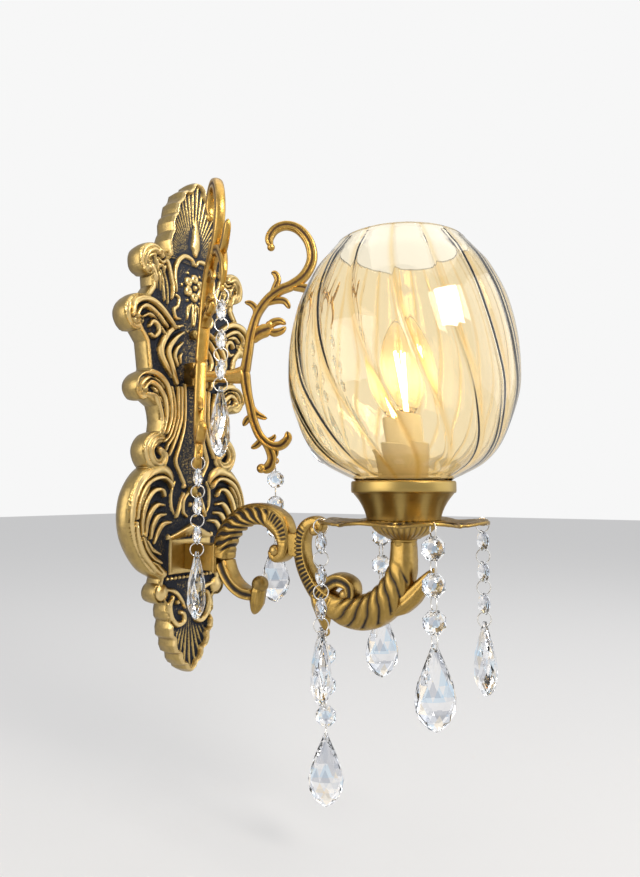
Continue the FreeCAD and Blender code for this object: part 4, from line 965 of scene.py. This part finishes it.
inner = Build()
swept(inner, arm_place, *INNER, 300, 72, feathered, (2, 8), square=0.62)
swept(inner, arm_place, *INNER_TAIL, 60, 40, channelled, (2, 6), square=0.7)
ball(inner, arm_place, (66, -48, 0), 6.2, 1.0, 0.45)
swept(inner, arm_place, *INNER_LEAF, 60, 36, ribbed_leaf, (6, 10))
for face in (-1, 1):
    ball(inner, arm_place, (83.4, -22.4, face * 5.0), 4.3, 0.9, 0.82)
clipped(inner, max)
rounded_box(inner, at(-8, -5, -41), at(8, 29, -21), 0.001, 0.72)
rounded_box(inner, at(-9, 25.6, -42), at(9, 28.2, -20), 0.0009, 0.8)
inner.piece("arm_inner_casting", CAST_BRASS, nodes=["arm_scroll_inner"])

outer = Build()
swept(outer, arm_place, *OUTER, 420, 72, laddered, (8, 1), square=0.72)
swept(outer, arm_place, *OUTER_LEAF, 50, 48, ribbed_leaf, (2, 8))
swept(outer, arm_place, *OUTER_CURL, 70, 40, channelled, (2, 8), square=0.8)
swept(outer, arm_place, *SIDE_LEAF, 60, 48, ribbed_leaf, (6, 8))
for face in (-1, 1):
    ball(outer, arm_place, (117.5, -7.2, face * 4.6), 3.8, 0.9, 0.84)
    ball(outer, arm_place, (140.5, -48.5, face * 3.4), 3.6, 0.9, 0.8)
clipped(outer, min)
lathe(outer, [(6.2, -15.5), (8, -15.3), (8.3, -14), (8, -12.2), (8.6, -11.4), (8.4, -10.55)], 48, 0.7)
rounded_box(outer, at(-6, 95.5, -26), at(6, 103.5, -10), 0.0008, 0.6)
ring_eye(outer, arm_place, HOOK_B, 3.2, 1.9)
outer.piece("arm_outer_casting", CAST_BRASS, nodes=["arm_scroll_outer"])


# ---- pan, dome, cup -----------------------------------------------------------------------
PAN_R, PAN_LOBES, PAN_T, PAN_BORE = 54.5, 8, 1.8, 5.2
CUP_WALL = 1.2


def pan_edge(angle):
    """Radius of the scalloped rim."""
    wave = abs(math.cos(angle * PAN_LOBES / 2 + PAN_LOBES * math.pi / 8))
    return PAN_R * (0.9 + 0.1 * wave ** 0.7)


def petal_hole(r, angle):
    """Distance into the pierced petals, in mm, positive in a hole."""
    turn = (angle * PAN_LOBES / (2 * math.pi)) % 1.0 - 0.5
    side = abs(turn) * 2 * math.pi / PAN_LOBES * r
    width = 5.6 * math.sqrt(max(0.0, 1 - ((r - 37.0) / 9.0) ** 2)) if 28 < r < 46 else -1
    return width - side


def pan_height(r, angle, share):
    """Relief of the pan: rim, bands, lips of the holes, beads and veins."""
    wave = math.cos(angle * PAN_LOBES)
    rim = 0.7 * math.exp(-((share - 0.985) / 0.02) ** 2)
    band = 0.5 * math.exp(-((r - 26.5) / 1.2) ** 2) + 0.35 * math.exp(-((r - 47.2) / 0.9) ** 2)
    hole = petal_hole(r, angle)
    lip = 0.55 * math.exp(-((hole + 1.0) / 0.6) ** 2) if hole < 0.5 else 0
    beads = 0.4 * max(0.0, math.cos(angle * 64)) * math.exp(-((r - 49.9) / 1.5) ** 2)
    veins = 0.45 * math.cos(angle * PAN_LOBES * 5) * math.sin(math.pi * min(1.0, share * 1.08)) ** 0.6
    return 0.35 + rim * 0.6 + band + lip + beads + veins + 0.12 * wave * share


def drip_pan():
    """The pierced, scalloped pan: both faces as height maps on a polar grid."""
    build = Build()
    around, across = 384, 62
    size = across * around
    verts, values, holes = [], [], []
    for face in (1, -1):
        for k in range(across):
            share = k / (across - 1)
            for angle in turns(around):
                r = PAN_BORE + (pan_edge(angle) - PAN_BORE) * share
                lift = pan_height(r, angle, share)
                z = face * min(PAN_T / 2 + 0.35, 0.3 + max(0.0, lift) * 0.75)
                z += 0.9 * share ** 3 * math.cos(angle * PAN_LOBES)
                verts.append(on_axis(r, angle, z))
                values.append(eased(0.10 + 0.62 * lift, 0, 1))
                holes.append(petal_hole(r, angle) > 0)

    def cell(k, i):
        """The four corners of one cell of the grid."""
        j = (i + 1) % around
        return k * around + i, k * around + j, (k + 1) * around + j, (k + 1) * around + i

    kept = np.array([[not all(holes[p] for p in cell(k, i)) for i in range(around)]
                     for k in range(across - 1)])
    cells = [(k, i) for k in range(across - 1) for i in range(around) if kept[k, i]]
    faces = []
    for k, i in cells:
        a, b, c, d = cell(k, i)
        faces += [(a, b, c, d), (size + d, size + c, size + b, size + a)]
    for k, i in cells:
        a, b, c, d = cell(k, i)
        if k == 0 or not kept[k - 1, i]:
            faces.append((a, size + a, size + b, b))
        if k == across - 2 or not kept[k + 1, i]:
            faces.append((c, size + c, size + d, d))
        if not kept[k, i - 1]:
            faces.append((a, d, size + d, size + a))
        if not kept[k, (i + 1) % around]:
            faces.append((b, size + b, size + c, c))
    build.add(verts, faces, values)
    build.piece("drip_pan_casting", CAST_BRASS, nodes=["drip_pan"])


def pan_dome():
    """The ribbed dome under the pan."""
    build = Build()
    rings, values = [], []
    for r, z in smooth_profile([(10.6, -10.4), (11.6, -9.6), (15.6, -7.6), (18.9, -4.8), (20.3, -2.6),
                                (19.4, -0.95)], 26):
        fade = min(1.0, (r - 10.4) / 3) * (1.0 if z < -1.6 else 0.3)
        ring = []
        for angle in turns(288):
            ribs = abs(math.cos(angle * 16))
            ring.append(on_axis(r * (1 - 0.05 * (1 - ribs) * fade), angle, z))
            values.append(0.25 + 0.58 * ribs)
        rings.append(ring)
    build.rings(rings, values)
    build.piece("pan_dome_casting", CAST_BRASS, nodes=["pan_dome"])


def glass_cup():
    """The spun cup that carries the shade: bowl, step and straight rim, then back down inside."""
    build = Build()
    outside = smooth_profile([(23.3, 0.95), (23.4, 2.2), (24.0, 5.0), (25.6, 9.0), (28.0, 13.2),
                              (30.6, 16.6)], 24)
    outside += [(31.3, 17.4), (31.5, 17.9), (32.3, 18.1), (32.8, 18.5), (33.0, 19.4), (33.0, 24.2),
                (32.8, 25.0), (32.3, 25.5)]
    inside = [(31.9, 25.4), (31.7, 24.6), (31.7, 19.6), (31.0, 18.6)]
    inside += [(r - CUP_WALL, z + 0.5) for r, z in outside[23:8:-3]] + [(22.2, 3.4), (21.4, 2.2), (6, 2.1)]
    lathe(build, [(5.3, 0.95)] + outside + inside + [(5.3, 2.1)], 128, 0.85)
    build.piece("glass_cup_spun", SATIN_BRASS, nodes=["glass_cup"])


drip_pan()
pan_dome()
glass_cup()


# ---- shade and bulb -----------------------------------------------------------------------
SHADE = [(29.5, 23.5), (30.6, 26.2), (38.0, 29.8), (50.0, 36.6), (59.5, 47.0), (66.5, 62.0),
         (72.0, 80.0), (73.0, 96.0), (71.5, 116.0), (66.5, 138.0), (57.5, 157.5), (49.5, 168.0),
         (42.5, 176.5)]
RIBS, TWIST = 16, 46.0                # flutes round the shade, degrees from foot to rim
RIB_OUTSIDE, RIB_INSIDE = 0.0012, 0.0095   # depth of the flutes as a share of the radius
GLASS_WALL, BULB_WALL = 2.4, 0.7
BULB_SIDES, BULB_MIDDLE = 72, 92.0    # facets round, height of the brightest glow


def shade():
    """The ribbed amber shade: up the outside, over the rim, down the inside to its flat foot."""
    build = Build()
    steps = smooth_profile(SHADE, 84)
    base, top = SHADE[0][1], SHADE[-1][1]
    around = 24 * RIBS
    rings, values = [], []

    def ring(r, z, depth):
        turn = math.radians(TWIST) * (1 - (1 - eased(z, base, top)) ** 2.1)
        fade = eased(z, base, base + 22.0)
        out = []
        for angle in turns(around):
            panel = abs(math.sin(RIBS * angle / 2))
            ridge = math.exp(-(panel / 0.24) ** 2)
            swell = 1 + depth * fade * (2 * panel ** 0.9 - 1 - 0.7 * ridge)
            out.append(on_axis(r * swell, angle + turn, z))
            values.append(min(1.0, 0.08 + 0.75 * ridge + 0.5 * (1 - fade)))
        rings.append(out)

    for r, z in steps:
        ring(r, z, RIB_OUTSIDE)
    tangents = np.gradient(np.array(steps), axis=0)
    tangents /= np.linalg.norm(tangents, axis=1)[:, None]
    r_top, z_top = steps[-1]
    for lean in (40, 90, 140):
        a = math.radians(lean)
        ring(r_top - 1.1 + 1.1 * math.cos(a), z_top + 0.9 * math.sin(a), RIB_OUTSIDE + 0.003 * lean / 140)
    inner = [(r - GLASS_WALL * tz, z + GLASS_WALL * tr) for (r, z), (tr, tz) in zip(steps, tangents)]
    for r, z in inner[::-1]:
        if z > 27.5:
            ring(r, z, RIB_INSIDE)
    for r, z in ((28.0, 26.6), (25.5, 26.1), (17.6, 26.05), (17.2, 25.6), (17.2, 24.0), (17.6, 23.55)):
        ring(r, z, 0.0)
    rings.append(rings[0])
    values.extend(values[:around])
    build.rings(rings, values, caps=False)
    build.piece("glass_shade_blown", AMBER, body="shade", nodes=["glass_shade"], slot="amber_glass")


def bulb():
    """The candle bulb's glass, brightest round its middle."""
    build = Build()
    out = smooth_profile([(7.4, 68), (9.0, 70.6), (13.0, 75.5), (16.6, 81.5), (18.7, 90), (18.1, 101),
                          (15.2, 111), (10.8, 119.5), (6.2, 126), (2.4, 129.9), (0.3, 131.4)], 60)
    walls = list(out)
    for k in range(len(out) - 1, -1, -1):
        r, z = out[k]
        inset = BULB_WALL if k < 3 else (-BULB_WALL if k > 55 else 0)
        walls.append((max(0.25, r - BULB_WALL), z + inset))
    lit = []
    for _, z in walls:
        lit += [0.04 + 0.96 * math.exp(-((z - BULB_MIDDLE) / 15.0) ** 2)] * BULB_SIDES
    lathe(build, walls, BULB_SIDES, lit)
    build.piece("bulb_glass_blown", BULB_GLASS, body="bulb", nodes=["bulb_glass"], slot="bulb_glass")


def bulb_filaments():
    """The glass stem in the bulb and six glowing strips that lean outwards round it."""
    build = Build()
    lathe(build, [(0.05, 66.9), (2.2, 67), (2.2, 74), (1.2, 80), (0.8, 88.4), (0.05, 88.6)], 16, 0.5)
    strip = 0.55                          # half width and half thickness
    for k in range(6):
        turn = math.radians(60 * k + 15)
        c, s = math.cos(turn), math.sin(turn)
        ends = []
        for r, z in ((1.8, 77.0), (4.6, 109.0)):
            ends.append([at((r + dr) * c - strip * side * s, REACH + (r + dr) * s + strip * side * c, z)
                         for dr, side in ((-strip, -1), (strip, -1), (strip, 1), (-strip, 1))])
        build.rings(ends, 0.5)
    build.piece("bulb_filaments", FILAMENT, body="bulb", nodes=["bulb_stem"], smooth=False)


def lampholder():
    """The holder: flange under the shade, threaded sleeve, and the narrower candle tube."""
    build = Build()
    thread = []
    for k in range(12):
        thread += [(16.5, 27.4 + 1.8 * k), (15.7, 28.3 + 1.8 * k)]
    lathe(build, [(5.3, 4.2), (15.6, 4.2), (16.4, 4.9), (16.4, 21), (21.4, 21.2), (22, 21.8), (22, 23),
                  (21.6, 23.45), (16.4, 23.48), (16.4, 26)] + thread
          + [(15.8, 48.2), (15.2, 48.7), (11.9, 48.75), (11.8, 49.3), (11.8, 65.8), (11.3, 66.8),
             (10.8, 67), (10.2, 67), (9.85, 66.6), (9.85, 40), (5.3, 40)], 72, 0.6)
    build.piece("lampholder_moulding", PLASTIC, nodes=["lampholder"])


shade()
bulb()
bulb_filaments()
lampholder()


# ---- crystals -----------------------------------------------------------------------------
BEAD_R, BEAD_T, BEAD_HOLE_AT, STRING_STEP = 7.2, 6.6, 5.3, 19.9
LINK_R, LINK_WIRE = 4.6, 0.8
DROP_LEN, DROP_W, DROP_T, DROP_HOLE_AT = 46.0, 24.0, 12.6, 3.2


def cut_through(verts, faces, holes, radius, depth):
    """A closed mesh with round holes bored through it front to back."""
    mesh = bpy.data.meshes.new("blank")
    mesh.from_pydata([tuple(v) for v in verts], [], faces)
    body = show("blank", mesh)
    tools = []
    for x, z in holes:
        rim = [(x + radius * math.cos(turn), z + radius * math.sin(turn)) for turn in turns(14)]
        pts = [(a, -depth, b) for a, b in rim] + [(a, depth, b) for a, b in rim]
        sides = [(i, (i + 1) % 14, 14 + (i + 1) % 14, 14 + i) for i in range(14)]
        sides += [tuple(range(13, -1, -1)), tuple(range(14, 28))]
        drill_mesh = bpy.data.meshes.new("drill")
        drill_mesh.from_pydata(pts, [], sides)
        drill = show("drill", drill_mesh)
        face_outwards(drill_mesh)
        bore = body.modifiers.new("bore", "BOOLEAN")
        bore.object, bore.operation, bore.solver = drill, "DIFFERENCE", "EXACT"
        tools.append(drill)
    bpy.context.view_layer.update()
    done = body.evaluated_get(bpy.context.evaluated_depsgraph_get()).to_mesh()
    out = (np.array([v.co[:] for v in done.vertices]), [tuple(p.vertices) for p in done.polygons])
    for obj in tools + [body]:
        bpy.data.objects.remove(obj)
    return out


def ringed(rings):
    """Points and triangles over rings that alternate by half a step, with end caps."""
    verts = [p for ring in rings for p in ring]
    faces = []
    count = len(rings[0])
    for k in range(len(rings) - 1):
        for i in range(count):
            j = (i + 1) % count
            a, b = k * count, (k + 1) * count
            if k % 2 == 0:
                faces += [(a + i, a + j, b + i), (a + j, b + j, b + i)]
            else:
                faces += [(a + i, b + j, b + i), (a + i, a + j, b + j)]
    faces += [tuple(range(count))[::-1], tuple((len(rings) - 1) * count + i for i in range(count))]
    return verts, faces


def bead_form():
    """Star-cut octagon: small table, kites, and a rim of long facets, front and back alike."""
    rings = []
    for face in (-1, 1):
        levels = [(0.30, 0.50, 0.5), (0.66, 0.34, 0.0), (0.995, 0.055, 0.5)]
        ordered = levels if face < 0 else levels[::-1]
        for share, depth, shift in ordered:
            rings.append([np.array([BEAD_R * share * math.cos(math.pi * (i + shift) / 4),
                                    face * BEAD_T * depth,
                                    BEAD_R * share * math.sin(math.pi * (i + shift) / 4)])
                          for i in range(8)])
    verts = [p for ring in rings for p in ring]
    faces = [tuple(range(8))]
    for k in range(5):
        for i in range(8):
            j = (i + 1) % 8
            a, b = k * 8, (k + 1) * 8
            if k == 2:
                faces.append((a + i, a + j, b + j, b + i))
            elif k in (0, 3):
                faces += [(a + i, b + j, a + j), (a + i, b + i, b + j)]
            else:
                faces += [(a + i, a + j, b + i), (a + j, b + j, b + i)]
    faces.append(tuple(range(47, 39, -1)))
    return cut_through(verts, faces, [(0, BEAD_HOLE_AT), (0, -BEAD_HOLE_AT)], 0.95, BEAD_T)


def drop_form():
    """Almond drop: rows of kite facets that alternate, pointed top, round foot; its top at zero."""
    rows = [(0.0, 0.11), (0.10, 0.27), (0.26, 0.55), (0.45, 0.84), (0.63, 0.99), (0.77, 0.93),
            (0.88, 0.70), (0.96, 0.38), (1.0, 0.08)]
    rings = []
    count = 10
    for k, (down, share) in enumerate(rows):
        thick = DROP_T / 2 * min(1.0, share + 0.08)
        rings.append([np.array([DROP_W / 2 * share * math.cos(2 * math.pi * (i + (k % 2) / 2) / count),
                                thick * math.sin(2 * math.pi * (i + (k % 2) / 2) / count),
                                -DROP_LEN * down]) for i in range(count)])
    verts, faces = ringed(rings)
    return cut_through(verts, faces, [(0, -DROP_HOLE_AT)], 0.95, DROP_T)


def link_form():
    """A round jump ring of fine wire, its plane square to the beads."""
    verts, faces = [], []
    for i in range(40):
        turn = 2 * math.pi * i / 40
        for j in range(10):
            a = 2 * math.pi * j / 10
            r = LINK_R + LINK_WIRE / 2 * math.cos(a)
            verts.append(np.array([LINK_WIRE / 2 * math.sin(a), r * math.cos(turn), r * math.sin(turn)]))
            b, c, d = ((i + 1) % 40) * 10 + j, ((i + 1) % 40) * 10 + (j + 1) % 10, i * 10 + (j + 1) % 10
            faces.append((i * 10 + j, b, c, d))
    return np.array(verts), faces


BEAD, DROP, LINK = bead_form(), drop_form(), link_form()


def string_places():
    """Name, top and turn about the upright of each of the nine strings."""
    k = 52.9 / math.sqrt(2)
    spots = [("pan_front_left", at(-k, REACH + k, -2.4), -45),
             ("pan_front_right", at(k, REACH + k, -2.4), 45),
             ("pan_rear_left", at(-k, REACH - k, -2.4), 45),
             ("pan_rear_right", at(k, REACH - k, -2.4), -45),
             ("arm", at(0, HOOK_B[0], HOOK_B[1] - 5.2), -60)]
    for side, word in ((-1, "left"), (1, "right")):
        place = branch_place(side)
        for level, hook, yaw in (("low", HOOK_F, 49.7), ("high", HOOK_G, 55.5)):
            spots.append((f"branch_{level}_{word}", place(*hook, 0) - np.array([0, 0, 5.2]) * MM,
                          -side * yaw))
    return spots


def crystal_string(name, first, yaw):
    """Three beads and four rings that ride on the string's body, and a drop on a body of its own."""
    turn = np.array(Matrix.Rotation(math.radians(yaw), 3, "Z"))

    def put(build, form, centre, relief=0.5):
        build.add(first + np.array([0, 0, centre]) * MM + (form[0] * MM) @ turn.T, form[1], relief)

    beads, links, drop = Build(), Build(), Build()
    for i in range(4):
        put(links, LINK, -STRING_STEP * i)
        if i < 3:
            put(beads, BEAD, -STRING_STEP * (i + 0.5))
    put(drop, DROP, -STRING_STEP * 3 - LINK_R + DROP_HOLE_AT)
    beads.piece(f"beads_cut_{name}", CRYSTAL, body=f"string_{name}", nodes=[f"beads_{name}"],
                smooth=False, slot="crystal", facets=True)
    links.piece(f"rings_{name}", WIRE, body=f"string_{name}", nodes=[f"links_{name}"])
    drop.piece(f"drop_cut_{name}", CRYSTAL, body=f"drop_{name}", nodes=[f"drop_{name}"],
               smooth=False, slot="crystal", facets=True)


for name, first, yaw in string_places():
    crystal_string(name, first, yaw)


# ---- plain CAD pieces: finishes only ------------------------------------------------------
FINISHES = {"wall_bracket": STEEL, "bracket_studs": STEEL, "cap_nuts": SATIN_BRASS,
            "branch_screw": STEEL, "arm_nipple": STEEL, "cup_nipple": STEEL, "cup_nut": STEEL,
            "lampholder_insert": PLASTIC, "shade_ring": PLASTIC, "bulb_cap": NICKEL}
for node, finish in FINISHES.items():
    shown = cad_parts[node]
    shown.data.materials.clear()
    shown.data.materials.append(finish)


# ---- floor, light and camera --------------------------------------------------------------
def pale(name, colour, seen):
    """The floor's paint: seen paler by the camera than it lights the object."""
    n = Nodes(name)
    out = n.tree.nodes["Material Output"]
    path = n.add("LightPath")
    reach = n.math("MAXIMUM", n.math("MAXIMUM", path.outputs["Is Camera Ray"], path.outputs["Is Glossy Ray"]),
                   path.outputs["Is Transmission Ray"])
    n.set(Base_Color=(*colour, 1.0), Roughness=0.9)
    glow = n.add("Emission", in_Color=(*seen, 1.0), in_Strength=0.85)
    mix = n.add("MixShader")
    n.link(n.math("MULTIPLY", reach, 0.6), mix, 0)
    n.link(n.shader.outputs[0], mix, 1)
    n.link(glow.outputs[0], mix, 2)
    n.link(mix.outputs[0], out, "Surface")
    return n.material


FLOOR_UP, FLOOR_HALF = -0.30, 6.0     # metres
floor_mesh = bpy.data.meshes.new("floor")
floor_mesh.from_pydata([(x * FLOOR_HALF, y * FLOOR_HALF, FLOOR_UP)
                        for x, y in ((-1, -1), (1, -1), (1, 1), (-1, 1))], [], [(0, 1, 2, 3)])
floor = show("floor", floor_mesh)
floor_mesh.materials.append(pale("floor_pale", (0.80, 0.79, 0.78), (0.93, 0.925, 0.92)))

# the world: seen white by camera and glass, half so by gloss, and dimmer for the light it gives
studio = Nodes("studio", "worlds", "Background")
bpy.context.scene.world = studio.material
studio.shader.inputs[0].default_value = (0.86, 0.90, 1.0, 1.0)
studio.shader.inputs[1].default_value = 0.30
white = studio.add("Background", in_0=(0.93, 0.93, 0.93, 1.0), in_1=1.0)
rays = studio.add("LightPath").outputs
seen = studio.math("MAXIMUM", rays["Is Camera Ray"], rays["Is Transmission Ray"])
either = studio.math("MAXIMUM", seen, studio.math("MULTIPLY", rays["Is Glossy Ray"], 0.5))
mix = studio.add("MixShader", [(0, either), (1, studio.shader.outputs[0]), (2, white.outputs[0])])
studio.link(mix.outputs[0], studio.tree.nodes["World Output"], 0)


def softbox(name, place, size, power, colour):
    """A soft square lamp that looks at the middle of the object."""
    light = bpy.data.lights.new(name, "AREA")
    light.shape, light.size, light.energy, light.color = "SQUARE", size, power, colour
    obj = show(name, light)
    obj.location = place
    obj.rotation_euler = (Vector(MIDDLE) - Vector(place)).to_track_quat("-Z", "Y").to_euler()


MIDDLE = (0.0, -0.10, 0.0)
softbox("key", (-0.25, -1.25, 0.7), 0.42, 15.0, (1.0, 0.96, 0.90))
softbox("side", (-1.1, 0.25, 0.2), 0.9, 7.0, (1.0, 0.95, 0.88))
softbox("fill", (0.7, -1.2, 0.3), 1.4, 7.0, (0.93, 0.96, 1.0))
softbox("top", (0.1, -0.3, 1.3), 1.4, 8.0, (1.0, 0.98, 0.95))

camera_data = bpy.data.cameras.new("camera")
camera_data.lens, camera_data.sensor_width = CAMERA_LENS, SENSOR
camera = show("camera", camera_data)
camera.location = CAMERA_AT
camera.rotation_euler = (math.radians(90 + CAMERA_TILT), 0, math.radians(CAMERA_HEADING))
bpy.context.scene.camera = camera
bpy.context.scene.view_settings.view_transform = "Standard"
